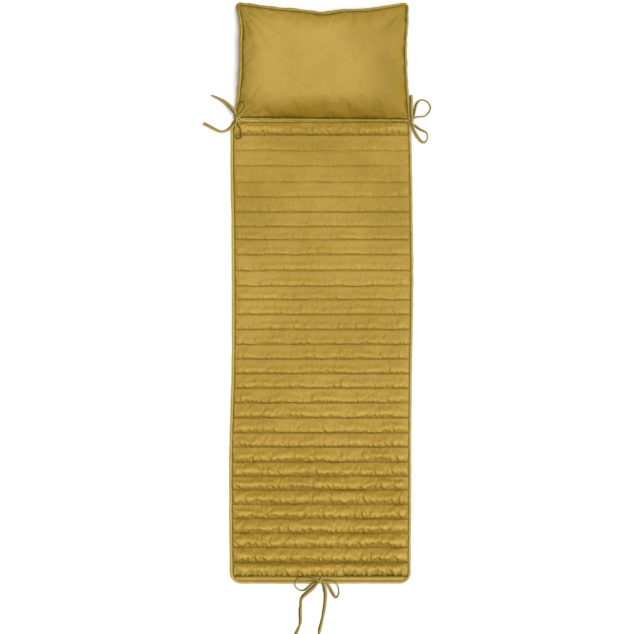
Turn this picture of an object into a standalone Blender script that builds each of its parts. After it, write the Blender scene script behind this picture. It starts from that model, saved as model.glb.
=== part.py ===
"""Sun lounger cushion: a long quilted pad and a filled head pillow, both piped, with three tied tapes.

Metres, +Z up. The origin is the middle of the pad's underside, and +Y runs towards the head pillow.
The cushion lies face up on z = 0. The tables are in millimetres and degrees.
"""

import math

import bmesh
import bpy
from mathutils import Vector

MM = 0.001
COLLECTION = "sun_lounger_cushion"
GAP = 0.0003

# Piping: a covered cord sewn into each rim seam.
CORD_RADIUS = 0.0040
CORD_SIDES_STEP = 2
RIM_INSET = 2 * CORD_RADIUS + GAP

# Quilted pad.
PAD_HEAD = 0.7733
PAD_FOOT = -0.7733
PAD_FIRST_ROW = 0.7207
PAD_LAST_ROW = -0.7493
PAD_ROWS = 31
PAD_ROW_DRIFT = 0.0115
PAD_DRIFT_SKEW = 0.85
PAD_HEAD_CORNER = 0.012
PAD_FOOT_CORNER = 0.028
RIM_TOP = 0.0080
RIM_BOTTOM = 0.0030
ROW_HEIGHT = 0.0095
CROWN_HEAD = 0.0150
CROWN_FOOT = 0.0225
CROWN_FULL_AT = 0.62
CROWN_UNEVEN = 0.0016
UNEVEN_TURNS = 23.0
UNEVEN_SHIFT = 2.1
CHANNEL_FULLNESS = 0.6
SHOULDER_WIDTH = 0.038
GROOVE_DEPTH = 0.0022
CHANNEL_SKEW = 1.3
CHANNEL_STEPS = (0.0, 0.25, 0.6, 0.87)
BAND_STEPS = (0.0, 0.26, 0.52, 0.78, 0.94, 1.0)
PAD_COLUMNS = (0.0, 0.24, 0.48, 0.72, 0.87, 0.95, 0.985, 1.0)

# Outer edge of the pad, piping included, where the photograph shows it.
PAD_EDGE = (
    # along, left, right
    (780, -300.5, 298.5),
    (622, -301.3, 303.0),
    (438, -298.0, 305.3),
    (238, -296.6, 307.3),
    (-62, -297.3, 303.0),
    (-295, -304.0, 300.7),
    (-495, -305.3, 300.0),
    (-780, -302.5, 298.3),
)

# Head pillow.
PILLOW_CROWN = 0.050
PILLOW_FULLNESS = 0.72
CROWN_ACROSS_POWER = 2.4
CROWN_HEAD_POWER = 3.4
CROWN_FOOT_POWER = 2.2
FLAT_POWER = 4
FLAT_REACH = 2.2
LIFT_POWER = 1.5
SEAM_CORNER_HEIGHT = 0.0138
SEAM_RISE = 0.031
SEAM_RISE_REACH = 0.42
SEAM_HALF = 0.0015
PILLOW_ACROSS = 30
PILLOW_ALONG = 22
EDGE_STEPS = 32
CORNER_STEPS = 8
HEAD_CORNER_REACH = 0.020
FOOT_CORNER_REACH = 0.008

PILLOW_SIDES = (
    # along, left, right
    (773, -292.0, 297.3),
    (838, -280.3, 293.0),
    (930, -271.8, 286.9),
    (1010, -271.0, 285.3),
    (1082, -270.0, 289.2),
    (1160, -285.0, 291.5),
)
PILLOW_HEAD = (
    # across, along
    (-285, 1165.0),
    (-154, 1145.0),
    (-70, 1137.5),
    (8, 1128.5),
    (70, 1137.3),
    (163, 1141.5),
    (291, 1165.0),
)
PILLOW_FOOT = (
    # across, along
    (-292, 771.5),
    (0, 768.0),
    (298, 765.6),
)

# Tapes. Lean is 0 where a tape lies flat and 90 where it stands on its edge.
TAPE_THICKNESS = 0.0014
TAPE_STEP = 0.006
CORE_RADIUS = 0.0036
CORE_LENGTH = 0.018
WRAP_LENGTH = 0.0085
WRAP_THICKNESS = 0.0026
KNOT_SIDES = 12

# Where each strip leaves the knot, in millimetres and degrees as in the tables.
STRIP_START = 6.5
STRIP_SPREAD = 1.1
THROAT_WIDTH = 5.0
THROAT_LEAN = 20

CLOTH = {
    "mat": ((0.491, 0.314, 0.065), 0.62),
    "pillow": ((0.500, 0.320, 0.068), 0.60),
    "piping": ((0.545, 0.376, 0.095), 0.58),
    "tape": ((0.470, 0.330, 0.095), 0.66),
}


def lookup(table, place, column):
    """Value of a table's column at a place, on a smooth curve through its rows."""
    rows = sorted(table)
    place_mm = min(max(place / MM, rows[0][0]), rows[-1][0])
    low = max(i for i in range(len(rows) - 1) if rows[i][0] <= place_mm)
    step = rows[low + 1][0] - rows[low][0]
    t = (place_mm - rows[low][0]) / step

    def slope(i):
        before, after = rows[max(i - 1, 0)], rows[min(i + 1, len(rows) - 1)]
        return (after[column] - before[column]) / (after[0] - before[0]) * step

    a, b = rows[low][column], rows[low + 1][column]
    start, end = slope(low), slope(low + 1)
    curve = a + t * start + t * t * (3 * (b - a) - 2 * start - end)
    return (curve + t**3 * (2 * (a - b) + start + end)) * MM


def offset_loop(points, distance):
    """The closed loop moved sideways by distance, to its left where it is above zero, mitred."""
    moved = []
    for i, point in enumerate(points):
        before = (point - points[i - 1]).normalized()
        after = (points[(i + 1) % len(points)] - point).normalized()
        left = Vector((-before.y - after.y, before.x + after.x)).normalized()
        mitre = max(left.dot(Vector((-after.y, after.x))), 0.5)
        moved.append(point + left * (distance / mitre))
    return moved


def in_collection(name, data):
    """A new object of this data in the cushion's collection."""
    obj = bpy.data.objects.new(name, data)
    bpy.data.collections[COLLECTION].objects.link(obj)
    return obj


def finish(obj, cloth):
    """Gives an object its own material and smooth shading."""
    colour, roughness = CLOTH[cloth]
    material = bpy.data.materials.new(f"{obj.name}_{cloth}")
    material.use_nodes = True
    shader = material.node_tree.nodes["Principled BSDF"]
    shader.inputs["Base Color"].default_value = (*colour, 1.0)
    shader.inputs["Roughness"].default_value = roughness
    shader.inputs["Metallic"].default_value = 0.0
    obj.data.materials.append(material)
    if obj.type == "MESH":
        obj.data.shade_smooth()
    return obj


def two_faced(name, columns, rows, top, underside):
    """A closed body from two grids of the same columns and rows, bridged round their rim."""
    bm = bmesh.new()
    bmesh.ops.create_grid(bm, x_segments=columns, y_segments=rows, size=1)
    copied = bmesh.ops.duplicate(bm, geom=bm.verts[:] + bm.edges[:] + bm.faces[:])
    lower = {item for item in copied["geom"] if isinstance(item, bmesh.types.BMVert)}
    lower_faces = [item for item in copied["geom"] if isinstance(item, bmesh.types.BMFace)]
    for vert in bm.verts:
        column = round((vert.co.x + 1) / 2 * columns)
        row = round((vert.co.y + 1) / 2 * rows)
        vert.co = (underside if vert in lower else top)(column, row)
    bmesh.ops.reverse_faces(bm, faces=lower_faces)
    rim = [edge for edge in bm.edges if edge.is_boundary]
    bmesh.ops.bridge_loops(bm, edges=rim)
    bmesh.ops.recalc_face_normals(bm, faces=bm.faces[:])
    mesh = bpy.data.meshes.new(name)
    bm.to_mesh(mesh)
    bm.free()
    return in_collection(name, mesh)


def piping(name, path):
    """A round cord along a closed path of points."""
    curve = bpy.data.curves.new(name, "CURVE")
    curve.dimensions = "3D"
    curve.bevel_depth = CORD_RADIUS
    curve.bevel_resolution = CORD_SIDES_STEP
    curve.use_fill_caps = False
    spline = curve.splines.new("POLY")
    spline.points.add(len(path) - 1)
    for spot, place in zip(spline.points, path):
        spot.co = (*place, 1.0)
    spline.use_cyclic_u = True
    return finish(in_collection(name, curve), "piping")


def row_places():
    """Along positions of the pad's stitched rows, the first at the head."""
    places = []
    for row in range(PAD_ROWS):
        part = row / (PAD_ROWS - 1)
        even = PAD_FIRST_ROW + (PAD_LAST_ROW - PAD_FIRST_ROW) * part
        places.append(even - PAD_ROW_DRIFT * math.sin(math.pi * part**PAD_DRIFT_SKEW))
    return places


class Pad:
    """The quilted pad's surface, row by row from the head to the foot."""

    def __init__(self):
        self.head = PAD_HEAD - RIM_INSET
        self.foot = PAD_FOOT + RIM_INSET
        self.stitched = row_places()
        seams = [self.head, *self.stitched]
        self.rows = []
        for channel, (start, end) in enumerate(zip(seams, seams[1:])):
            for step in CHANNEL_STEPS:
                self.rows.append((start + (end - start) * step, step, channel))
        for step in BAND_STEPS:
            last = self.stitched[-1]
            self.rows.append((last + (self.foot - last) * step, 0.0, len(seams) - 2))
        half = PAD_COLUMNS[1:]
        self.columns = (*(-place for place in reversed(half)), *PAD_COLUMNS)

    def corner_cut(self, along):
        """How far the rim is drawn in at a rounded corner."""
        cut = 0.0
        for end, radius in ((self.head, PAD_HEAD_CORNER), (self.foot, PAD_FOOT_CORNER)):
            beyond = max(radius - abs(end - along), 0.0)
            cut += radius - math.sqrt(max(radius * radius - beyond * beyond, 0.0))
        return cut

    def edges(self, along):
        """Left and right rim of the cloth, inside the piping."""
        cut = RIM_INSET + self.corner_cut(along)
        return lookup(PAD_EDGE, along, 1) + cut, lookup(PAD_EDGE, along, 2) - cut

    def spot(self, column, row):
        """Across and along position of a grid point."""
        along = self.rows[row][0]
        left, right = self.edges(along)
        share = (self.columns[column] + 1) / 2
        return left + (right - left) * share, along

    def shoulder(self, column, row):
        """0 at the rim and 1 where the pad is full."""
        across, along = self.spot(column, row)
        left, right = self.edges(along)
        inside = min(across - left, right - across, SHOULDER_WIDTH)
        return math.sqrt(max(1 - (1 - inside / SHOULDER_WIDTH) ** 2, 0.0))

    def on_rim(self, column, row):
        return column in (0, len(self.columns) - 1) or row in (0, len(self.rows) - 1)

    def top(self, column, row):
        """Point of the upper face."""
        across, along = self.spot(column, row)
        if self.on_rim(column, row):
            return Vector((across, along, RIM_TOP))
        _, step, channel = self.rows[row]
        part = channel / (PAD_ROWS - 1)
        crown = CROWN_HEAD + (CROWN_FOOT - CROWN_HEAD) * min(part / CROWN_FULL_AT, 1.0)
        crown += CROWN_UNEVEN * math.sin(across * UNEVEN_TURNS + channel * UNEVEN_SHIFT)
        full = math.sin(math.pi * step**CHANNEL_SKEW) ** CHANNEL_FULLNESS * crown
        base = RIM_TOP + (ROW_HEIGHT - RIM_TOP) * self.shoulder(column, row)
        return Vector((across, along, base + full * self.shoulder(column, row)))

    def underside(self, column, row):
        """Point of the lower face: flat on the floor, with a shallow groove at each row."""
        across, along = self.spot(column, row)
        if self.on_rim(column, row):
            return Vector((across, along, RIM_BOTTOM))
        _, step, _ = self.rows[row]
        raised = GROOVE_DEPTH if step == 0.0 else 0.0
        edge = RIM_BOTTOM * (1 - self.shoulder(column, row)) ** 2
        return Vector((across, along, max(raised, edge)))

    def rim(self):
        """The rim's outline in the plane, running round to the left."""
        last = len(self.rows) - 1
        bends = [self.corner_cut(along) > 0 for along, _, _ in self.rows]
        kept = [
            row
            for row in range(last + 1)
            if self.rows[row][1] == 0.0 or any(bends[max(row - 1, 0) : row + 2])
        ]
        right, left = len(self.columns) - 1, 0
        loop = [self.spot(right, row) for row in reversed(kept)]
        loop += [self.spot(column, 0) for column in range(right - 1, left, -1)]
        loop += [self.spot(left, row) for row in kept]
        loop += [self.spot(column, last) for column in range(left + 1, right)]
        return [Vector(place) for place in loop]

    def build(self):
        """The pad and its piping."""
        columns, rows = len(self.columns) - 1, len(self.rows) - 1
        finish(two_faced("mat", columns, rows, self.top, self.underside), "mat")
        path = offset_loop(self.rim(), -(GAP + CORD_RADIUS))
        height = (RIM_TOP + RIM_BOTTOM) / 2
        piping("mat_piping", [(place.x, place.y, height) for place in path])


def rounded(a, corner, b, steps):
    """Points of a rounded corner from a to b, without its two ends."""
    points = []
    for i in range(1, steps):
        t = i / steps
        points.append(a * (1 - t) ** 2 + corner * (2 * t * (1 - t)) + b * t * t)
    return points


def along_path(points, count):
    """The open path's points spread evenly over its length, both ends kept."""
    lengths = [0.0]
    for a, b in zip(points, points[1:]):
        lengths.append(lengths[-1] + (b - a).length)
    spread = []
    for i in range(count + 1):
        wanted = lengths[-1] * i / count
        low = max(j for j in range(len(points) - 1) if lengths[j] <= wanted + 1e-12)
        run = lengths[low + 1] - lengths[low]
        spread.append(points[low].lerp(points[low + 1], (wanted - lengths[low]) / run))
    return spread


class Pillow:
    """The filled head pillow, its face a patch between four drawn-in sides."""

    def __init__(self):
        outline = self.outline()
        seam = offset_loop(outline, RIM_INSET)
        across, along = PILLOW_ACROSS, PILLOW_ALONG
        self.outer = outline
        self.foot = seam[: across + 1]
        self.right = seam[across : across + along + 1]
        self.head = list(reversed(seam[across + along : 2 * across + along + 1]))
        self.left = list(reversed([*seam[2 * across + along :], seam[0]]))

    @staticmethod
    def side(column, start, end):
        """Points of the left or right edge between two places along."""
        steps = EDGE_STEPS
        places = [start + (end - start) * i / steps for i in range(steps + 1)]
        return [Vector((lookup(PILLOW_SIDES, y, column), y)) for y in places]

    @staticmethod
    def end(table, start, end):
        """Points of the head or foot edge between two places across."""
        steps = EDGE_STEPS
        places = [start + (end - start) * i / steps for i in range(steps + 1)]
        return [Vector((x, lookup(table, x, 1))) for x in places]

    def outline(self):
        """Outer outline with the piping, the foot edge first, running round to the left."""
        left, right = PILLOW_FOOT[0][0] * MM, PILLOW_FOOT[-1][0] * MM
        head_left, head_right = PILLOW_HEAD[0][0] * MM, PILLOW_HEAD[-1][0] * MM
        low, high = PILLOW_SIDES[0][0] * MM, PILLOW_SIDES[-1][0] * MM
        near, far = FOOT_CORNER_REACH, HEAD_CORNER_REACH
        foot = self.end(PILLOW_FOOT, left + near, right - near)
        right_side = self.side(2, low + near, high - far)
        head = self.end(PILLOW_HEAD, head_right - far, head_left + far)
        left_side = self.side(1, high - far, low + near)
        sides = [foot, right_side, head, left_side]
        corners = (
            Vector((right, PILLOW_FOOT[-1][1] * MM)),
            Vector((head_right, PILLOW_HEAD[-1][1] * MM)),
            Vector((head_left, PILLOW_HEAD[0][1] * MM)),
            Vector((left, PILLOW_FOOT[0][1] * MM)),
        )
        counts = (PILLOW_ACROSS, PILLOW_ALONG, PILLOW_ACROSS, PILLOW_ALONG)
        steps = CORNER_STEPS
        bends = [
            rounded(sides[i][-1], corners[i], sides[(i + 1) % 4][0], steps) for i in range(4)
        ]
        loop = []
        for i, count in enumerate(counts):
            middle = steps // 2 - 1
            path = [*bends[i - 1][middle:], *sides[i], *bends[i][: middle + 1]]
            loop += along_path(path, count)[:-1]
        return loop

    def spot(self, column, row):
        """Across and along position of a grid point."""
        u, v = column / PILLOW_ACROSS, row / PILLOW_ALONG
        ends = self.foot[column].lerp(self.head[column], v)
        sides = self.left[row].lerp(self.right[row], u)
        low = self.foot[0].lerp(self.foot[-1], u)
        high = self.head[0].lerp(self.head[-1], u)
        return ends + sides - low.lerp(high, v)

    @staticmethod
    def seam_height(column, row):
        """Height of the seam, lowest at the corners and along the foot."""
        u, v = 2 * column / PILLOW_ACROSS - 1, 2 * row / PILLOW_ALONG - 1
        reach = min((v + 1) / 2 / SEAM_RISE_REACH, 1.0)
        rise = SEAM_RISE * reach * reach * (3 - 2 * reach)
        return SEAM_CORNER_HEIGHT + rise * max(1 - u**4, 1 - max(v, 0) ** 4)

    def on_rim(self, column, row):
        return column in (0, PILLOW_ACROSS) or row in (0, PILLOW_ALONG)

    def top(self, column, row):
        """Point of the upper face, crowned and drawn down at the sides."""
        place = self.spot(column, row)
        height = self.seam_height(column, row)
        if self.on_rim(column, row):
            return Vector((*place, height + SEAM_HALF))
        u, v = 2 * column / PILLOW_ACROSS - 1, 2 * row / PILLOW_ALONG - 1
        along_power = CROWN_HEAD_POWER if v > 0 else CROWN_FOOT_POWER
        full = (1 - abs(u) ** CROWN_ACROSS_POWER) * (1 - abs(v) ** along_power)
        return Vector((*place, height + SEAM_HALF + PILLOW_CROWN * full**PILLOW_FULLNESS))

    def underside(self, column, row):
        """Point of the lower face, flat on the floor inside its rounded edge."""
        place = self.spot(column, row)
        height = self.seam_height(column, row) - SEAM_HALF
        if self.on_rim(column, row):
            return Vector((*place, height))
        u, v = 2 * column / PILLOW_ACROSS - 1, 2 * row / PILLOW_ALONG - 1
        lifted = max(1 - FLAT_REACH * (1 - u**FLAT_POWER) * (1 - v**FLAT_POWER), 0.0)
        return Vector((*place, height * lifted**LIFT_POWER))

    def build(self):
        """The pillow and its piping."""
        body = two_faced("pillow", PILLOW_ACROSS, PILLOW_ALONG, self.top, self.underside)
        finish(body, "pillow")
        path = offset_loop(self.outer, CORD_RADIUS)
        steps = [
            *((column, 0) for column in range(PILLOW_ACROSS)),
            *((PILLOW_ACROSS, row) for row in range(PILLOW_ALONG)),
            *((column, PILLOW_ALONG) for column in range(PILLOW_ACROSS, 0, -1)),
            *((0, row) for row in range(PILLOW_ALONG, 0, -1)),
        ]
        heights = [self.seam_height(*step) for step in steps]
        piping("pillow_piping", [(*place, high) for place, high in zip(path, heights)])


TIES = {
    "tie_left": {
        "knot": (-280.0, 777.0, 25.0),
        "turn": 70,
        "ends": {
            # across, along, height, lean, width
            "upper_end": (
                (-284.5, 792.0, 26.5, 8, 9.0),
                (-295.3, 808.0, 24.0, 12, 13.0),
                (-318.3, 829.5, 13.0, 25, 11.5),
                (-342.0, 843.7, 8.0, 55, 11.0),
                (-366.0, 854.0, 6.2, 72, 11.0),
            ),
            "lower_end": (
                (-288.0, 760.0, 21.0, 10, 9.0),
                (-299.0, 746.5, 15.5, 20, 10.5),
                (-318.3, 735.3, 8.0, 50, 11.0),
                (-335.3, 733.3, 6.2, 55, 11.0),
                (-355.7, 741.7, 5.6, 45, 11.0),
                (-376.0, 752.7, 4.8, 35, 11.5),
                (-393.0, 760.3, 4.4, 32, 11.5),
            ),
        },
        "loops": {
            "upper_loop": (
                (-277.5, 796.0, 27.5, 60, 8.5),
                (-274.0, 815.0, 32.0, 70, 10.5),
                (-267.5, 828.0, 39.5, 70, 11.0),
                (-257.0, 829.0, 44.5, 70, 11.0),
                (-251.5, 817.0, 42.0, 70, 10.5),
                (-261.0, 800.0, 34.5, 60, 8.5),
            ),
            "lower_loop": (
                (-286.5, 747.0, 24.5, 60, 9.0),
                (-288.5, 722.0, 21.0, 65, 10.5),
                (-277.0, 708.3, 28.0, 65, 10.5),
                (-264.0, 716.3, 27.5, 65, 10.5),
                (-268.0, 741.7, 31.0, 60, 9.0),
            ),
        },
        "root": (
            (-268.0, 774.0, 20.0, 0, 8.5),
            (-258.0, 776.0, 19.7, 0, 9.5),
        ),
    },
    "tie_right": {
        "knot": (301.0, 767.0, 25.0),
        "turn": 80,
        "ends": {
            "upper_end": (
                (300.5, 788.0, 26.0, 4, 9.0),
                (299.8, 812.0, 26.0, 6, 11.0),
                (299.8, 834.0, 24.5, 8, 11.0),
                (299.4, 853.0, 17.5, 8, 11.0),
            ),
        },
        "loops": {
            "upper_loop": (
                (308.5, 786.0, 17.0, 55, 9.0),
                (312.5, 806.0, 12.0, 50, 10.5),
                (318.5, 825.0, 7.0, 55, 11.0),
                (330.0, 837.2, 6.3, 75, 11.0),
                (345.5, 836.5, 6.3, 78, 11.0),
                (358.7, 826.7, 6.3, 78, 11.0),
                (364.0, 812.5, 6.3, 72, 11.0),
                (360.0, 799.0, 6.3, 66, 11.0),
                (346.5, 785.5, 6.5, 70, 11.0),
                (330.0, 782.5, 9.0, 70, 11.0),
                (317.0, 781.0, 15.5, 62, 9.0),
            ),
            "lower_loop": (
                (313.0, 752.0, 18.0, 48, 9.0),
                (327.0, 741.7, 9.5, 55, 11.0),
                (340.5, 734.5, 6.3, 60, 11.0),
                (350.5, 729.0, 6.3, 75, 11.0),
                (354.0, 718.5, 6.3, 78, 11.0),
                (352.0, 705.5, 6.3, 76, 11.0),
                (343.0, 696.5, 6.3, 60, 11.0),
                (331.3, 703.3, 6.3, 48, 11.0),
                (318.7, 720.3, 10.5, 42, 11.0),
                (308.0, 739.5, 16.5, 38, 9.0),
            ),
        },
        "root": (
            (288.0, 768.8, 19.4, 0, 9.0),
            (279.5, 771.2, 18.9, 0, 10.5),
        ),
    },
    "tie_foot": {
        "knot": (-1.0, -763.5, 16.6),
        "turn": 0,
        "ends": {
            "left_tail": (
                (-15.5, -774.0, 14.5, 6, 9.0),
                (-29.0, -788.5, 9.0, 8, 12.5),
                (-47.3, -804.5, 4.8, 8, 13.0),
                (-61.5, -817.5, 3.6, 22, 12.0),
                (-67.5, -830.0, 5.1, 48, 11.0),
                (-67.8, -845.0, 4.8, 40, 11.0),
                (-69.5, -860.0, 3.4, 18, 11.0),
                (-69.3, -880.0, 2.6, 8, 11.0),
                (-69.0, -898.0, 3.8, 28, 11.0),
                (-71.8, -912.0, 5.5, 55, 11.0),
                (-77.5, -926.0, 4.8, 42, 11.0),
                (-84.5, -942.0, 2.8, 14, 11.0),
                (-91.0, -957.0, 1.8, 4, 11.0),
            ),
            "right_tail": (
                (9.5, -777.0, 14.5, 8, 8.5),
                (12.5, -791.5, 9.5, 10, 11.5),
                (14.3, -810.0, 4.0, 12, 11.5),
                (13.0, -837.3, 2.4, 6, 11.0),
                (10.3, -857.7, 2.4, 6, 11.0),
                (5.5, -882.0, 4.6, 40, 11.0),
                (1.0, -904.0, 4.2, 34, 11.0),
                (-4.5, -925.0, 3.2, 16, 11.0),
                (-7.3, -941.7, 5.8, 60, 11.0),
                (-9.0, -957.0, 5.9, 62, 11.0),
            ),
        },
        "loops": {
            "left_loop": (
                (-24.0, -756.5, 18.0, 66, 8.5),
                (-49.0, -752.5, 17.5, 72, 10.5),
                (-70.0, -752.3, 17.6, 72, 11.0),
                (-82.3, -759.7, 17.6, 74, 11.0),
                (-87.7, -773.3, 16.0, 76, 11.0),
                (-82.0, -787.0, 9.0, 76, 11.0),
                (-68.3, -796.0, 6.3, 70, 11.0),
                (-54.3, -794.0, 6.3, 64, 10.0),
                (-40.7, -783.0, 9.5, 56, 8.5),
                (-25.0, -769.5, 15.5, 50, 7.5),
            ),
            "right_loop": (
                (22.7, -761.0, 17.5, 70, 9.5),
                (39.3, -764.5, 18.0, 74, 11.0),
                (52.0, -773.0, 16.0, 76, 11.0),
                (58.0, -790.0, 8.0, 76, 11.0),
                (58.0, -808.0, 6.3, 70, 11.0),
                (49.0, -819.5, 6.0, 62, 11.0),
                (38.5, -805.0, 5.8, 40, 11.0),
                (29.0, -787.0, 9.5, 34, 10.0),
                (20.0, -773.5, 14.5, 30, 7.5),
            ),
        },
        "root": (
            (-1.0, -755.6, 12.4, 0, 8.0),
            (-1.0, -751.8, 10.6, 0, 9.5),
        ),
    },
}


def smooth_rows(rows):
    """The rows of a tape's table as evenly stepped sections on a smooth path."""
    points = [Vector(row[:3]) * MM for row in rows]
    shapes = [Vector((row[3], row[4])) for row in rows]
    sections = []
    for i in range(len(rows) - 1):
        before, after = points[max(i - 1, 0)], points[min(i + 2, len(points) - 1)]
        a, b = points[i], points[i + 1]
        start, end = (b - before) / 2, (after - a) / 2
        count = max(1, round((b - a).length / TAPE_STEP))
        for step in range(count + (i == len(rows) - 2)):
            t = step / count
            spot = a + start * t + (3 * (b - a) - 2 * start - end) * t * t
            spot += (2 * (a - b) + start + end) * t**3
            ease = t * t * (3 - 2 * t)
            sections.append((spot, *shapes[i].lerp(shapes[i + 1], ease)))
    return sections


def tape_strip(name, rows):
    """A strip of flat tape with the lean and width that its rows state."""
    sections = smooth_rows(rows)
    last = len(sections) - 1
    bm = bmesh.new()
    bmesh.ops.create_grid(bm, x_segments=last, y_segments=1, size=1)
    for vert in bm.verts:
        number = round((vert.co.x + 1) / 2 * last)
        side = round(vert.co.y)
        spot, lean, width = sections[number]
        run = sections[min(number + 1, last)][0] - sections[max(number - 1, 0)][0]
        level = Vector((-run.y, run.x, 0.0)).normalized()
        rise = run.normalized().cross(level)
        rise = rise if rise.z > 0 else -rise
        edge = level * math.cos(math.radians(lean)) + rise * math.sin(math.radians(lean))
        vert.co = spot + edge * (side * width * MM / 2)
    bmesh.ops.recalc_face_normals(bm, faces=bm.faces[:])
    mesh = bpy.data.meshes.new(name)
    bm.to_mesh(mesh)
    bm.free()
    strip = in_collection(name, mesh)
    thicken = strip.modifiers.new("thickness", "SOLIDIFY")
    thicken.thickness = TAPE_THICKNESS
    thicken.offset = 0.0
    return strip


class Bow:
    """A tied bow: the tape with its ends and loops, and the turn of tape round its middle."""

    def __init__(self, name, shape):
        self.name = name
        self.shape = shape
        self.knot = Vector(shape["knot"])
        turn = math.radians(shape["turn"])
        self.axis = Vector((math.cos(turn), math.sin(turn), 0.0))

    def bar(self, part, radius, length):
        """A closed round bar on the knot's axis."""
        bm = bmesh.new()
        bmesh.ops.create_cone(
            bm,
            cap_ends=True,
            segments=KNOT_SIDES,
            radius1=radius,
            radius2=radius,
            depth=length,
        )
        mesh = bpy.data.meshes.new(f"{self.name}_{part}")
        bm.to_mesh(mesh)
        bm.free()
        bar = in_collection(mesh.name, mesh)
        bar.location = self.knot * MM
        bar.rotation_euler = (0.0, math.radians(90), math.radians(self.shape["turn"]))
        return bar

    def throat(self, rows, lift):
        """The row inside the knot that a strip starts from or ends in."""
        side = 1 if (Vector(rows[0][:3]) - self.knot).dot(self.axis) > 0 else -1
        start = self.knot + self.axis * (side * STRIP_START) + Vector((0.0, 0.0, lift))
        return (*start, THROAT_LEAN, THROAT_WIDTH)

    def join(self, part, pieces, cutters=()):
        """One mesh object from the union of pieces less the cutters."""
        body = pieces[0]
        steps = [(piece, "UNION") for piece in pieces[1:]]
        steps += [(cutter, "DIFFERENCE") for cutter in cutters]
        for piece, operation in steps:
            modifier = body.modifiers.new(operation.lower(), "BOOLEAN")
            modifier.operation = operation
            modifier.object = piece
            modifier.use_self = True
        graph = bpy.context.evaluated_depsgraph_get()
        mesh = bpy.data.meshes.new_from_object(body.evaluated_get(graph))
        mesh.transform(body.matrix_world)
        for piece in (*pieces, *cutters):
            bpy.data.objects.remove(piece)
        return finish(in_collection(f"{self.name}_{part}", mesh), "tape")

    def build(self):
        """The bow's two nodes."""
        ends, loops = self.shape["ends"], self.shape["loops"]
        middle = (len(ends) + len(loops) - 1) / 2
        strips = []
        for part, rows in {**ends, **loops}.items():
            lift = STRIP_SPREAD * (len(strips) - middle)
            path = (self.throat(rows, lift), *rows)
            if part in loops:
                path = (*path, self.throat(rows, lift + STRIP_SPREAD / 2))
            strips.append(tape_strip(f"{self.name}_{part}", path))
        self.join("tape", [self.bar("core", CORE_RADIUS, CORE_LENGTH), *strips])

        inner = CORE_RADIUS + GAP
        outer = inner + WRAP_THICKNESS
        turn = self.bar("turn", outer, WRAP_LENGTH)
        hole = self.bar("hole", inner, WRAP_LENGTH * 2)
        first = Vector(self.shape["root"][0][:3])
        out = first - self.knot
        out -= self.axis * out.dot(self.axis)
        start = self.knot + out.normalized() * (inner + WRAP_THICKNESS / 2) / MM
        root = tape_strip(f"{self.name}_root", ((*start, 0, THROAT_WIDTH), *self.shape["root"]))
        self.join("wrap", [turn, root], [hole])


def main():
    """Clears the scene and builds every piece."""
    for obj in list(bpy.data.objects):
        bpy.data.objects.remove(obj)
    group = bpy.data.collections.new(COLLECTION)
    bpy.context.scene.collection.children.link(group)
    Pad().build()
    Pillow().build()
    bpy.context.view_layer.update()
    for name, shape in TIES.items():
        Bow(name, shape).build()


main()
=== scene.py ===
"""Sun lounger cushion: a quilted pad and a filled head pillow, both piped, with three tied tapes.

Metres, +Z up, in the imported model's frame. The cushion lies face up on z = 0 with its pillow
towards +Y. Tables are in millimetres and degrees.
"""

from __future__ import annotations

import logging
import math
from dataclasses import dataclass, field
from enum import Enum

import bmesh
import bpy
import numpy as np
from mathutils import Matrix


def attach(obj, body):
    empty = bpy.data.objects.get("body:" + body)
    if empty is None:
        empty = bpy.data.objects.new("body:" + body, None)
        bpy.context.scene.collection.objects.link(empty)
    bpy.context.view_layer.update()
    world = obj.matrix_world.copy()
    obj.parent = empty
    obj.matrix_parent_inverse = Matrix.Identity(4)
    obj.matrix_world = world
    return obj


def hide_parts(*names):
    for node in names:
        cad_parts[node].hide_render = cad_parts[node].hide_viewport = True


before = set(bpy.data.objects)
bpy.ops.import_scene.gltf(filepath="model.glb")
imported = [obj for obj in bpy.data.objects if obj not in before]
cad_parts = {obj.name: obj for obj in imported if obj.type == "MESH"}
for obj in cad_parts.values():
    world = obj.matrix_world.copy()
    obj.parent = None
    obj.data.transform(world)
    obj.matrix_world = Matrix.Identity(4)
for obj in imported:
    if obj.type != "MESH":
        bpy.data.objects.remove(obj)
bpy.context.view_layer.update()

LOG = logging.getLogger("lounger_cushion")
MM = 0.001
BODY = "root"
# Level direction that the tapes' painted shade faces, away from the light.
SHADED_SIDE = (-0.8, 0.6, 0.0)
TO_X = Matrix.Rotation(math.radians(90), 3, "Y")

Table = tuple[tuple[float, ...], ...]
Places = np.ndarray
Thing = bpy.types.Object
NodeTree = bpy.types.NodeTree


class Side(Enum):
    """The sides of an outline table, by column."""

    LEFT = 1
    RIGHT = 2


class Quilt(Enum):
    """What the quilting table tells, by column."""

    LIFT = 1
    CROWN = 2
    CREST = 3
    ROUND = 4
    GATHERS = 5
    SHADE = 6


class ClothUse(Enum):
    """What a cloth finish covers, by the record's material slot."""

    PAD = "pad_cloth"
    PILLOW = "pillow_cloth"
    PIPING = "piping_cloth"
    TAPE = "tape_cloth"


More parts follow.
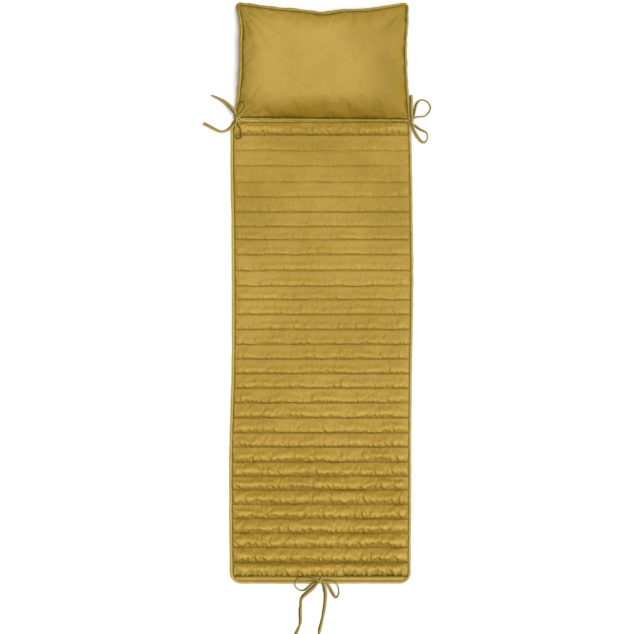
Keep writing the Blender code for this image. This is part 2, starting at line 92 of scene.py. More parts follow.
def read_table(table: Table, places: Places | float, column: int) -> Places:
    """A table's column at some places, on a smooth curve through its rows.

    Args:
        table: Rows whose first column is the place, in millimetres.
        places: Where to read, in metres.
        column: The column to read.

    Returns:
        The values in metres.
    """
    rows = np.array(sorted(table), float) * MM
    knots, values = rows[:, 0], rows[:, column]
    count = len(knots)
    before = np.maximum(np.arange(count) - 1, 0)
    after = np.minimum(np.arange(count) + 1, count - 1)
    slopes = (values[after] - values[before]) / (knots[after] - knots[before])
    place = np.clip(np.asarray(places, float), knots[0], knots[-1])
    low = np.clip(np.searchsorted(knots, place, side="right") - 1, 0, count - 2)
    run = knots[low + 1] - knots[low]
    t = (place - knots[low]) / run
    a, b = values[low], values[low + 1]
    start, end = slopes[low] * run, slopes[low + 1] * run
    curve = a + t * start + t * t * (3 * (b - a) - 2 * start - end)
    return curve + t**3 * (2 * (a - b) + start + end)


def ripple(x: Places, y: Places, size: float, seed: int, octaves: int = 3) -> Places:
    """Smooth seeded unevenness over a plane, about -1 to 1.

    Args:
        x: First coordinate.
        y: Second coordinate.
        size: Length of the broadest unevenness, in the coordinates' unit.
        seed: Picks the pattern.
        octaves: How many finer layers are added.

    Returns:
        One value for each place.
    """
    total = np.zeros(np.broadcast(x, y).shape)
    weight, weights = 1.0, 0.0
    for octave in range(octaves):
        scale = 2.0**octave / size
        total += weight * lattice(x * scale, y * scale, seed + 17 * octave)
        weights += weight
        weight *= 0.55
    return total * 1.6 / weights


def lattice(x: Places, y: Places, seed: int) -> Places:
    """Smooth noise from seeded values on a whole-number lattice, -1 to 1.

    Args:
        x: First coordinate.
        y: Second coordinate.
        seed: Picks the values.

    Returns:
        One value for each place.
    """
    column, row = np.floor(x).astype(np.int64), np.floor(y).astype(np.int64)
    u, v = x - column, y - row
    u, v = u * u * u * (u * (6 * u - 15) + 10), v * v * v * (v * (6 * v - 15) + 10)

    def corner(i: int, j: int) -> Places:
        """Value of one lattice corner.

        Args:
            i: 0 or 1, the corner's column past the place.
            j: 0 or 1, its row.

        Returns:
            A value from -1 to 1.
        """
        mixed = (column + i) * 374761393 + (row + j) * 668265263 + seed * 974634777
        mixed = (mixed ^ (mixed >> 13)) * 1274126177
        mixed = (mixed ^ (mixed >> 16)) & 0xFFFF
        return mixed / 32767.5 - 1

    low = corner(0, 0) * (1 - u) + corner(1, 0) * u
    high = corner(0, 1) * (1 - u) + corner(1, 1) * u
    return low * (1 - v) + high * v


def ease(value: Places | float, low: float, high: float) -> Places:
    """0 below low, 1 above high and a smooth step between.

    Args:
        value: What is measured.
        low: Where the step starts.
        high: Where it ends.

    Returns:
        The step's height, from 0 to 1.
    """
    t = np.clip((np.asarray(value, float) - low) / (high - low), 0.0, 1.0)
    return t * t * (3 - 2 * t)


def as_thing(name: str, bm: bmesh.types.BMesh) -> Thing:
    """A new scene object from a bmesh, which is freed.

    Args:
        name: Name of the object and its mesh.
        bm: The shape.

    Returns:
        The object, shaded smooth.
    """
    mesh = bpy.data.meshes.new(name)
    bm.to_mesh(mesh)
    bm.free()
    thing = bpy.data.objects.new(name, mesh)
    bpy.context.scene.collection.objects.link(thing)
    mesh.shade_smooth()
    return thing


def discard(thing: Thing) -> None:
    """Removes an object and its mesh."""
    mesh = thing.data
    bpy.data.objects.remove(thing)
    bpy.data.meshes.remove(mesh)


def points_of(mesh: bpy.types.Mesh) -> Places:
    """The mesh's vertex positions, one row each."""
    flat = np.empty(len(mesh.vertices) * 3, np.float32)
    mesh.vertices.foreach_get("co", flat)
    return flat.reshape(-1, 3).astype(float)


def move_points(mesh: bpy.types.Mesh, points: Places) -> None:
    """Puts the mesh's vertices at these positions."""
    mesh.vertices.foreach_set("co", np.ascontiguousarray(points, np.float32).ravel())
    mesh.update()


def set_mask(mesh: bpy.types.Mesh, name: str, values: Places) -> None:
    """Stores one number for each vertex, which materials read by name."""
    mask = mesh.attributes.get(name) or mesh.attributes.new(name, "FLOAT", "POINT")
    mask.data.foreach_set("value", np.ascontiguousarray(values, np.float32))


def set_cloth_map(mesh: bpy.types.Mesh, flat: Places) -> None:
    """Stores each vertex's place on the flat cloth, in metres, as the UV map.

    Args:
        mesh: The mesh.
        flat: Two columns, one row for each vertex.
    """
    layer = mesh.uv_layers.new(name="cloth")
    corners = np.empty(len(mesh.loops), np.int32)
    mesh.loops.foreach_get("vertex_index", corners)
    layer.uv.foreach_set("vector", np.ascontiguousarray(flat[corners], np.float32).ravel())


def hand_over(
    piece: Thing, use: ClothUse, finish: bpy.types.Material, *nodes: str
) -> None:
    """Dresses a piece and makes it ride with the model.

    Args:
        piece: The finished piece.
        use: Not used.
        finish: Its material.
        nodes: The model's nodes that it stands for.
    """
    piece.data.materials.append(finish)
    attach(piece, BODY)
    if nodes:
        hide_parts(*nodes)
    LOG.info("%s: %d faces", piece.name, len(piece.data.polygons))


# ---------------------------------------------------------------- cloth finishes


class Sockets:
    """Shorthand for making and joining the nodes of one tree."""

    def __init__(self, tree: NodeTree) -> None:
        """Keeps the tree."""
        self.tree = tree

    def node(self, kind: str, **settings: object) -> bpy.types.Node:
        """Adds a node and sets its named properties."""
        made = self.tree.nodes.new(kind)
        for key, value in settings.items():
            setattr(made, key, value)
        return made

    def join(self, source: object, target: object) -> None:
        """Links an output to an input, or sets the input to a plain value."""
        if isinstance(source, bpy.types.NodeSocket):
            self.tree.links.new(source, target)
        else:
            target.default_value = source

    def sum(self, operation: str, *values: object, clamp: bool = False) -> object:
        """A Math node's result on up to three values or outputs."""
        made = self.node("ShaderNodeMath", operation=operation, use_clamp=clamp)
        for value, target in zip(values, made.inputs):
            self.join(value, target)
        return made.outputs[0]

    def scaled(self, vector: object, scale: tuple[float, float, float]) -> object:
        """A vector output with each part multiplied.

        Args:
            vector: The vector.
            scale: What each part is multiplied by.

        Returns:
            The new vector.
        """
        made = self.node("ShaderNodeVectorMath", operation="MULTIPLY")
        self.join(vector, made.inputs[0])
        made.inputs[1].default_value = scale
        return made.outputs[0]

    def noise(self, vector: object, scale: float, detail: float, rough: float = 0.5) -> object:
        """A Noise Texture's value, 0 to 1.

        Args:
            vector: Where it is read.
            scale: How fine it is.
            detail: How many finer layers it has.
            rough: How strong each finer layer is.

        Returns:
            The value.
        """
        made = self.node("ShaderNodeTexNoise", noise_dimensions="3D")
        self.join(vector, made.inputs["Vector"])
        made.inputs["Scale"].default_value = scale
        made.inputs["Detail"].default_value = detail
        made.inputs["Roughness"].default_value = rough
        return made.outputs[0]

    def ramp(self, value: object, low: float, high: float, at: float, to: float) -> object:
        """A value mapped from one range to another and held inside it.

        Args:
            value: The value.
            low: Start of its range.
            high: End of its range.
            at: What low becomes.
            to: What high becomes.

        Returns:
            The new value.
        """
        made = self.node("ShaderNodeMapRange", clamp=True)
        for source, target in zip((value, low, high, at, to), made.inputs):
            self.join(source, target)
        return made.outputs[0]

    def mix(self, factor: object, a: object, b: object) -> object:
        """A colour between two.

        Args:
            factor: 0 for the first, 1 for the second.
            a: The first.
            b: The second.

        Returns:
            The colour.
        """
        made = self.node("ShaderNodeMix", data_type="RGBA")
        self.join(factor, made.inputs[0])
        self.join(a, made.inputs[6])
        self.join(b, made.inputs[7])
        return made.outputs[2]

    def mask(self, name: str) -> object:
        """The number that a mesh stores for each vertex under a name."""
        return self.node("ShaderNodeAttribute", attribute_name=name).outputs["Fac"]

    def bump(self, height: object, strength: float, depth: float, under: object = None) -> object:
        """A Bump node's normal.

        Args:
            height: The heights, about 0 to 1.
            strength: How much of the relief is taken.
            depth: What a height of 1 stands for, in metres.
            under: The normal that it lies on, if not the mesh's own.

        Returns:
            The normal.
        """
        made = self.node("ShaderNodeBump")
        made.inputs["Strength"].default_value = strength
        made.inputs["Distance"].default_value = depth
        self.join(height, made.inputs["Height"])
        if under is not None:
            self.join(under, made.inputs["Normal"])
        return made.outputs["Normal"]


def new_finish(name: str) -> tuple[bpy.types.Material, Sockets, bpy.types.Node]:
    """A new material, the shorthand for its nodes, and its shader."""
    made = bpy.data.materials.new(name)
    made.use_nodes = True
    return made, Sockets(made.node_tree), made.node_tree.nodes["Principled BSDF"]


@dataclass(frozen=True)
class Effect:
    """A shader node group with named inputs and outputs, built once."""

    name: str
    inputs: tuple[tuple[str, str, float], ...]
    outputs: tuple[tuple[str, str], ...]

    def open(self) -> tuple[Sockets, bpy.types.Node, bpy.types.Node]:
        """Makes the empty group.

        Returns:
            Its node shorthand, its input node and its output node.
        """
        tree = bpy.data.node_groups.new(self.name, "ShaderNodeTree")
        for name, kind, value in self.inputs:
            socket = tree.interface.new_socket(name, in_out="INPUT", socket_type=kind)
            if kind == "NodeSocketFloat":
                socket.default_value = value
        for name, kind in self.outputs:
            tree.interface.new_socket(name, in_out="OUTPUT", socket_type=kind)
        nodes = Sockets(tree)
        return nodes, nodes.node("NodeGroupInput"), nodes.node("NodeGroupOutput")

    def place(self, nodes: Sockets, **values: object) -> bpy.types.Node:
        """Puts the group into a material with its own values."""
        made = nodes.node("ShaderNodeGroup", node_tree=bpy.data.node_groups[self.name])
        for name, value in values.items():
            nodes.join(value, made.inputs[name.replace("_", " ").title()])
        return made


WEAVE = Effect(
    "plain_weave",
    (
        ("Cloth Place", "NodeSocketVector", 0.0),
        ("Threads Per Metre", "NodeSocketFloat", 1400.0),
        ("Slub", "NodeSocketFloat", 0.5),
    ),
    (("Height", "NodeSocketFloat"), ("Shade", "NodeSocketFloat")),
)
MOTTLE = Effect(
    "dye_mottle",
    (("Place", "NodeSocketVector", 0.0), ("Size", "NodeSocketFloat", 6.0)),
    (("Shade", "NodeSocketFloat"), ("Warmth", "NodeSocketFloat")),
)
# Painted shade in hollows where the groove mask is set, and wear where the ridge mask is set.
SHADE_AND_WEAR = Effect(
    "folds_and_wear",
    (
        ("Groove", "NodeSocketFloat", 0.0),
        ("Ridge", "NodeSocketFloat", 0.0),
        ("Place", "NodeSocketVector", 0.0),
    ),
    (("Dark", "NodeSocketFloat"), ("Light", "NodeSocketFloat")),
)
CRUMPLE = Effect(
    "fine_crumple",
    (("Place", "NodeSocketVector", 0.0), ("Amount", "NodeSocketFloat", 1.0)),
    (("Height", "NodeSocketFloat"),),
)


def build_weave() -> None:
    """The over and under of plain-woven threads, with thicker threads here and there."""
    nodes, given, result = WEAVE.open()
    parts = nodes.node("ShaderNodeSeparateXYZ")
    nodes.join(given.outputs["Cloth Place"], parts.inputs[0])
    pitch = nodes.sum("MULTIPLY", given.outputs["Threads Per Metre"], math.pi)
    warp = nodes.sum("SINE", nodes.sum("MULTIPLY", parts.outputs["X"], pitch))
    weft = nodes.sum("SINE", nodes.sum("MULTIPLY", parts.outputs["Y"], pitch))
    over = nodes.sum("MULTIPLY_ADD", nodes.sum("MULTIPLY", warp, weft), 0.5, 0.5)
    place = given.outputs["Cloth Place"]
    thick_warp = nodes.noise(nodes.scaled(place, (520.0, 14.0, 1.0)), 1.0, 2.0)
    thick_weft = nodes.noise(nodes.scaled(place, (14.0, 520.0, 1.0)), 1.0, 2.0)
    slub = nodes.sum("SUBTRACT", nodes.sum("ADD", thick_warp, thick_weft), 1.0)
    slub = nodes.sum("MULTIPLY", slub, given.outputs["Slub"])
    nodes.join(nodes.sum("ADD", over, slub), result.inputs["Height"])
    shade = nodes.sum("MULTIPLY_ADD", slub, 0.8, nodes.sum("MULTIPLY", over, 0.35))
    nodes.join(nodes.sum("ADD", shade, 0.3, clamp=True), result.inputs["Shade"])


def build_mottle() -> None:
    """Broad uneven dyeing and fading."""
    nodes, given, result = MOTTLE.open()
    sized = nodes.node("ShaderNodeVectorMath", operation="SCALE")
    nodes.join(given.outputs["Place"], sized.inputs[0])
    nodes.join(given.outputs["Size"], sized.inputs["Scale"])
    nodes.join(nodes.noise(sized.outputs[0], 1.0, 4.0, 0.55), result.inputs["Shade"])
    moved = nodes.scaled(sized.outputs[0], (0.6, 0.45, 1.0))
    nodes.join(nodes.noise(moved, 1.0, 2.0), result.inputs["Warmth"])


def build_shade_and_wear() -> None:
    """Painted shade in sewn grooves and hollows, and paler where ridges are rubbed, both broken up.
    """
    nodes, given, result = SHADE_AND_WEAR.open()
    broken = nodes.noise(given.outputs["Place"], 90.0, 3.0, 0.6)
    dark = nodes.sum("MULTIPLY", given.outputs["Groove"], nodes.ramp(broken, 0.3, 0.7, 0.7, 1.0))
    nodes.join(dark, result.inputs["Dark"])
    light = nodes.sum("MULTIPLY", given.outputs["Ridge"], nodes.ramp(broken, 0.35, 0.65, 0.35, 1.0))
    nodes.join(light, result.inputs["Light"])


def build_crumple() -> None:
    """Small creases in the cloth that are too fine for the mesh, most of them lengthwise."""
    nodes, given, result = CRUMPLE.open()
    place = given.outputs["Place"]
    creases = []
    for lean in (-48.0, 30.0):
        turned = nodes.node("ShaderNodeCombineXYZ")
        for axis, across in zip("XYZ", ((128.0, lean, 0.0), (7.0, 27.0, 0.0), (0.0, 0.0, 30.0))):
            part = nodes.node("ShaderNodeVectorMath", operation="DOT_PRODUCT")
            nodes.join(place, part.inputs[0])
            part.inputs[1].default_value = across
            nodes.join(part.outputs["Value"], turned.inputs[axis])
        streak = nodes.noise(turned.outputs[0], 1.0, 2.0, 0.5)
        creases.append(nodes.ramp(streak, 0.38, 0.72, 0.0, 1.0))
    fine = nodes.noise(nodes.scaled(place, (260.0, 180.0, 200.0)), 1.0, 2.0, 0.5)
    both = nodes.sum("MULTIPLY_ADD", fine, 0.30, nodes.sum("ADD", *creases))
    nodes.join(nodes.sum("MULTIPLY", both, given.outputs["Amount"]), result.inputs["Height"])


@dataclass(frozen=True)
class ClothFinish:
    """A woven cloth: its three colours, and how far each effect changes it.

    The colour is that of the flat cloth, the shade that of the painted shade in hollows and of the
    gaps between threads, and the third, pale one that of rubbed cloth and of painted light. Shares
    are from
    0 to 1, reliefs in metres.
    """

    use: ClothUse
    colour: tuple[float, float, float]
    shade: tuple[float, float, float]
    worn_and_lit: tuple[float, float, float]
    threads: float = 1400.0
    slub: float = 0.5
    crumple: float = 1.0
    roughness: float = 0.62
    sheen: float = 0.09
    specular: float = 0.1
    mottling: float = 0.35
    mottle_size: float = 7.0
    thread_gaps: float = 0.16
    streaks: float = 0.10
    warmth: float = 0.25
    # How far the painted light goes towards the pale third colour.
    fading: float = 0.36
    wear: float = 0.52
    # The painted shade colour that steep cloth takes: its share and its tint.
    steep_shade_share: float = 0.6
    steep_shade_tint: tuple[float, float, float] = (1.0, 0.95, 0.25)
    weave_relief: float = 0.0003
    crumple_relief: float = 0.0016

    def build(self) -> bpy.types.Material:
        """The finish as a material."""
        made, nodes, shader = new_finish(self.use.value)
        spot = nodes.node("ShaderNodeTexCoord").outputs["Object"]
        cloth = nodes.node("ShaderNodeUVMap", uv_map="cloth").outputs["UV"]
        weave = WEAVE.place(
            nodes, cloth_place=cloth, threads_per_metre=self.threads, slub=self.slub
        )
        mottle = MOTTLE.place(nodes, place=spot, size=self.mottle_size)
        crumple = CRUMPLE.place(nodes, place=spot, amount=self.crumple)
        # Painted shade from the groove mask and wear from the ridge mask.
        folds = SHADE_AND_WEAR.place(
            nodes, groove=nodes.mask("groove"), ridge=nodes.mask("ridge"), place=spot
        )
        colour = self.dyed(nodes, cloth, weave, mottle)
        colour = self.lit_shaded_and_worn(nodes, colour, folds)
        nodes.join(colour, shader.inputs["Base Color"])
        rough = nodes.sum("MULTIPLY_ADD", mottle.outputs["Shade"], 0.12, self.roughness - 0.06)
        rough = nodes.sum("MULTIPLY_ADD", folds.outputs["Light"], -0.08, rough)
        nodes.join(rough, shader.inputs["Roughness"])
        woven = nodes.bump(weave.outputs["Height"], 0.35, self.weave_relief)
        creased = nodes.bump(crumple.outputs["Height"], 0.8, self.crumple_relief, woven)
        nodes.join(creased, shader.inputs["Normal"])
        shader.inputs["Sheen Weight"].default_value = self.sheen
        shader.inputs["Sheen Roughness"].default_value = 0.45
        shader.inputs["Sheen Tint"].default_value = (*self.worn_and_lit, 1.0)
        shader.inputs["Specular IOR Level"].default_value = self.specular
        return made

    def dyed(
        self, nodes: Sockets, cloth: object, weave: bpy.types.Node, mottle: bpy.types.Node
    ) -> object:
        """The new cloth's colour: dye, gaps between threads, uneven threads and warmth.

        Args:
            nodes: The material's nodes.
            cloth: The place on the flat cloth.
            weave: The weave group.
            mottle: The mottle group.

        Returns:
            The colour.
        """
        dark, worn_and_lit = (*self.shade, 1.0), (*self.worn_and_lit, 1.0)
        uneven = nodes.ramp(mottle.outputs["Shade"], 0.3, 0.7, 0.0, self.mottling)
        colour = nodes.mix(uneven, (*self.colour, 1.0), dark)
        gaps = nodes.ramp(weave.outputs["Shade"], 0.2, 0.8, self.thread_gaps, 0.0)
        colour = nodes.mix(gaps, colour, dark)
        for scale, part in (((14.0, 250.0, 1.0), 1.0), ((220.0, 9.0, 1.0), 0.6)):
            streak = nodes.noise(nodes.scaled(cloth, scale), 1.0, 2.0, 0.6)
            streaked = nodes.ramp(streak, 0.45, 0.7, 0.0, self.streaks * part)
            colour = nodes.mix(streaked, colour, dark)
        warm = nodes.ramp(mottle.outputs["Warmth"], 0.4, 0.65, 0.0, self.warmth)
        return nodes.mix(warm, colour, worn_and_lit)

    def lit_shaded_and_worn(self, nodes: Sockets, colour: object, folds: bpy.types.Node) -> object:
        """The colour after painted light and wear, with painted shade: richer on steep cloth and
        dark in hollows.

        Args:
            nodes: The material's nodes.
            colour: The new cloth's colour.
            folds: The folds and wear group.

        Returns:
            The colour.
        """
        worn_and_lit = (*self.worn_and_lit, 1.0)
        # Painted light: paler where the mask of painted light is high.
        colour = nodes.mix(nodes.sum("MULTIPLY", nodes.mask("faded"), self.fading), colour, worn_and_lit)
        light = nodes.sum("MULTIPLY", folds.outputs["Light"], self.wear)
        colour = nodes.mix(light, colour, worn_and_lit)
        # Painted shade: steep cloth takes a darker, richer colour, as shade and bounced light give
        # it.
        facing = nodes.node("ShaderNodeSeparateXYZ")
        nodes.join(nodes.node("ShaderNodeNewGeometry").outputs["Normal"], facing.inputs[0])
        steep = nodes.ramp(facing.outputs["Z"], 0.93, 0.60, 0.0, self.steep_shade_share)
        rich = (*(part * share for part, share in zip(self.colour, self.steep_shade_tint)), 1.0)
        colour = nodes.mix(steep, colour, rich)
        # Painted shade in hollows, from the groove mask.
        return nodes.mix(folds.outputs["Dark"], colour, (*self.shade, 1.0))


@dataclass(frozen=True)
class ThreadFinish:
    """Sewing thread, plied and slightly shiny."""

    colour: tuple[float, float, float] = (0.40, 0.26, 0.05)
    roughness: float = 0.5

    def build(self) -> bpy.types.Material:
        """The finish as a material."""
        made, nodes, shader = new_finish("sewing_thread")
        spot = nodes.node("ShaderNodeTexCoord").outputs["Object"]
        plies = nodes.noise(nodes.scaled(spot, (1800.0, 900.0, 900.0)), 1.0, 1.0)
        pale = (*(part * 1.25 for part in self.colour), 1.0)
        dark = (*(part * 0.7 for part in self.colour), 1.0)
        nodes.join(nodes.mix(plies, dark, pale), shader.inputs["Base Color"])
        rough = nodes.ramp(plies, 0.0, 1.0, self.roughness - 0.1, self.roughness + 0.1)
        nodes.join(rough, shader.inputs["Roughness"])
        shader.inputs["Sheen Weight"].default_value = 0.2
        return made


# ---------------------------------------------------------------- filled cloth


@dataclass(frozen=True)
class Filling:
    """How the filling blows up a sewn face and how much too big its cloth is cut.

    The cap is the most that the settled cloth moves, in metres, and the levels are the steps
    in which a point's weight is stored.
    """

    pressure: float = 0.5
    too_big: float = 0.03
    bend: float = 0.03
    tension: float = 15.0
    frames: int = 20
    cap: float = 0.009
    mass: float = 0.15
    shear: float = 2.0
    quality: int = 6
    levels: int = 20

    def settle(self, face: Thing, sewn: Places, loose: Places) -> None:
        """Runs the cloth simulation on a face and keeps its result.

        Args:
            face: The open sheet, which ends with its points moved.
            sewn: For each point, 1 where it is held by a seam.
            loose: For each point, from 0 to 1, how much of too_big it has.
        """
        start = points_of(face.data)
        held = face.vertex_groups.new(name="sewn")
        tight = face.vertex_groups.new(name="tight")
        for group, weights in ((held, sewn), (tight, 1 - loose)):
            for level in range(1, self.levels + 1):
                chosen = np.flatnonzero(np.round(weights * self.levels) == level)
                group.add(chosen.tolist(), level / self.levels, "REPLACE")
        fill = face.modifiers.new("filling", "CLOTH")
        cloth = fill.settings
        cloth.quality = self.quality
        cloth.mass = self.mass
        cloth.tension_stiffness = self.tension
        cloth.compression_stiffness = self.tension
        cloth.shear_stiffness = self.shear
        cloth.bending_stiffness = self.bend
        cloth.use_pressure = True
        cloth.uniform_pressure_force = self.pressure
        cloth.vertex_group_mass = held.name
        cloth.shrink_min = -self.too_big
        cloth.shrink_max = 0.0
        cloth.vertex_group_shrink = tight.name
        cloth.effector_weights.gravity = 0.0
        fill.collision_settings.use_collision = False
        fill.point_cache.frame_start = 1
        fill.point_cache.frame_end = self.frames
        scene = bpy.context.scene
        for number in range(1, self.frames + 1):
            scene.frame_set(number)
        graph = bpy.context.evaluated_depsgraph_get()
        settled = face.evaluated_get(graph).to_mesh()
        moved = points_of(settled) - start
        face.evaluated_get(graph).to_mesh_clear()
        face.modifiers.remove(fill)
        scene.frame_set(1)
        reach = np.linalg.norm(moved, axis=1, keepdims=True)
        LOG.info("%s settled: moved %.1f mm at most", face.name, reach.max() / MM)
        moved *= np.tanh(reach / self.cap) * self.cap / np.maximum(reach, 1e-9)
        move_points(face.data, start + moved)


@dataclass
class Grid:
    """A sheet of columns and rows whose points are placed by arrays."""

    columns: int
    rows: int

    def sheet(self, name: str) -> tuple[Thing, Places, Places]:
        """Makes the flat sheet.

        Args:
            name: The object's name.

        Returns:
            The sheet, and each point's column and row number.
        """
        bm = bmesh.new()
        bmesh.ops.create_grid(bm, x_segments=self.columns, y_segments=self.rows, size=1.0)
        sheet = as_thing(name, bm)
        flat = points_of(sheet.data)
        column = np.round((flat[:, 0] + 1) / 2 * self.columns).astype(int)
        row = np.round((flat[:, 1] + 1) / 2 * self.rows).astype(int)
        return sheet, column, row

    def rim(self, column: Places, row: Places) -> Places:
        """True for the points on the sheet's edges."""
        return (column == 0) | (column == self.columns) | (row == 0) | (row == self.rows)


def close_faces(name: str, top: Thing, under: Thing) -> Thing:
    """Joins an upper and a lower sheet round their rims into one closed body.

    Args:
        name: Name of the body.
        top: The upper sheet, facing up.
        under: The lower sheet, facing up, with half as many columns and rows.

    Returns:
        The body. The sheets are removed.
    """
    bm = bmesh.new()
    bm.from_mesh(under.data)
    rim = [edge for edge in bm.edges if edge.is_boundary]
    bmesh.ops.subdivide_edges(bm, edges=rim, cuts=1, use_grid_fill=True)
    bmesh.ops.reverse_faces(bm, faces=bm.faces[:])
    bm.from_mesh(top.data)
    rims = [edge for edge in bm.edges if edge.is_boundary]
    bmesh.ops.bridge_loops(bm, edges=rims)
    bmesh.ops.recalc_face_normals(bm, faces=bm.faces[:])
    discard(top)
    discard(under)
    return as_thing(name, bm)


# ---------------------------------------------------------------- quilted pad


@dataclass(frozen=True)
class Gathers:
    """The pointed folds that a sewn row draws in the cloth beside it, least and most.

    Each row has its count of folds, over twice the reach. Those under a row are that much weaker.
    """

    count: int = 90
    reach: float = 0.32
    spacing: tuple[float, float] = (0.004, 0.018)
    length: tuple[float, float] = (0.010, 0.044)
    width: tuple[float, float] = (0.0020, 0.0046)
    depth: tuple[float, float] = (0.0020, 0.0170)
    lean: float = 0.45
    under: float = 0.22

    def press(self, across: Places, gap: Places, seed: int) -> Places:
        """How far one row's folds press the cloth down.

        Args:
            across: Places across the pad.
            gap: Their distances from the row.
            seed: Picks the folds.

        Returns:
            The depths in metres.
        """
        chance = np.random.default_rng(seed)
        spots = np.cumsum(chance.uniform(*self.spacing, self.count)) - self.reach
        lean = chance.normal(0.0, self.lean, self.count)
        length = chance.uniform(*self.length, self.count)
        width = chance.uniform(*self.width, self.count)
        depth = chance.uniform(*self.depth, self.count)
        far = gap[:, None] / length
        off = across[:, None] - spots - lean * gap[:, None]
        fold = np.exp(-((off / (width * (1 + far))) ** 2)) * np.clip(1 - far, 0.0, 1.0)
        return (fold * depth).sum(axis=1)


@dataclass(frozen=True)
class StorageCreases:
    """Creases from folding the pad away, and those that the ties pull into its head end.

    A crease is a ridge with a shallower hollow on both sides. It ends softly and meanders.
    """

    width: float = 0.003
    shoulder: float = 0.009
    shoulder_share: float = 0.6
    run_out: float = 0.01
    meander: float = 0.004
    meander_size: float = 0.06
    rows: Table = (
        # across and along of both ends, height
        (-216, -120, -216, -226, 1.1),
        (-104, -490, -104, -650, 1.2),
        (-137, -30, -137, -60, 0.9),
        (16, -395, 16, -665, 0.9),
        (-286, 736, -226, 763, -7.0),
        (-286, 729, -240, 744, -6.0),
        (-280, 748, -262, 768, -5.0),
        (282, 738, 250, 758, -5.0),
    )

    def press(self, across: Places, along: Places) -> Places:
        """How far the creases press the cloth down at some places, in metres."""
        total = np.zeros(len(across))
        for start_x, start_y, end_x, end_y, height in np.array(self.rows) * MM:
            run = np.array([end_x - start_x, end_y - start_y])
            long = float(np.hypot(*run))
            ahead = ((across - start_x) * run[0] + (along - start_y) * run[1]) / long
            off = ((across - start_x) * run[1] - (along - start_y) * run[0]) / long
            off += self.meander * ripple(ahead, 0.0 * ahead, self.meander_size, 71, 2)
            inside = ease(ahead, -self.run_out, self.run_out)
            inside *= ease(long - ahead, -self.run_out, self.run_out)
            fold = np.exp(-((off / self.width) ** 2))
            fold -= self.shoulder_share * np.exp(-((off / self.shoulder) ** 2))
            total -= height * inside * fold
        return total


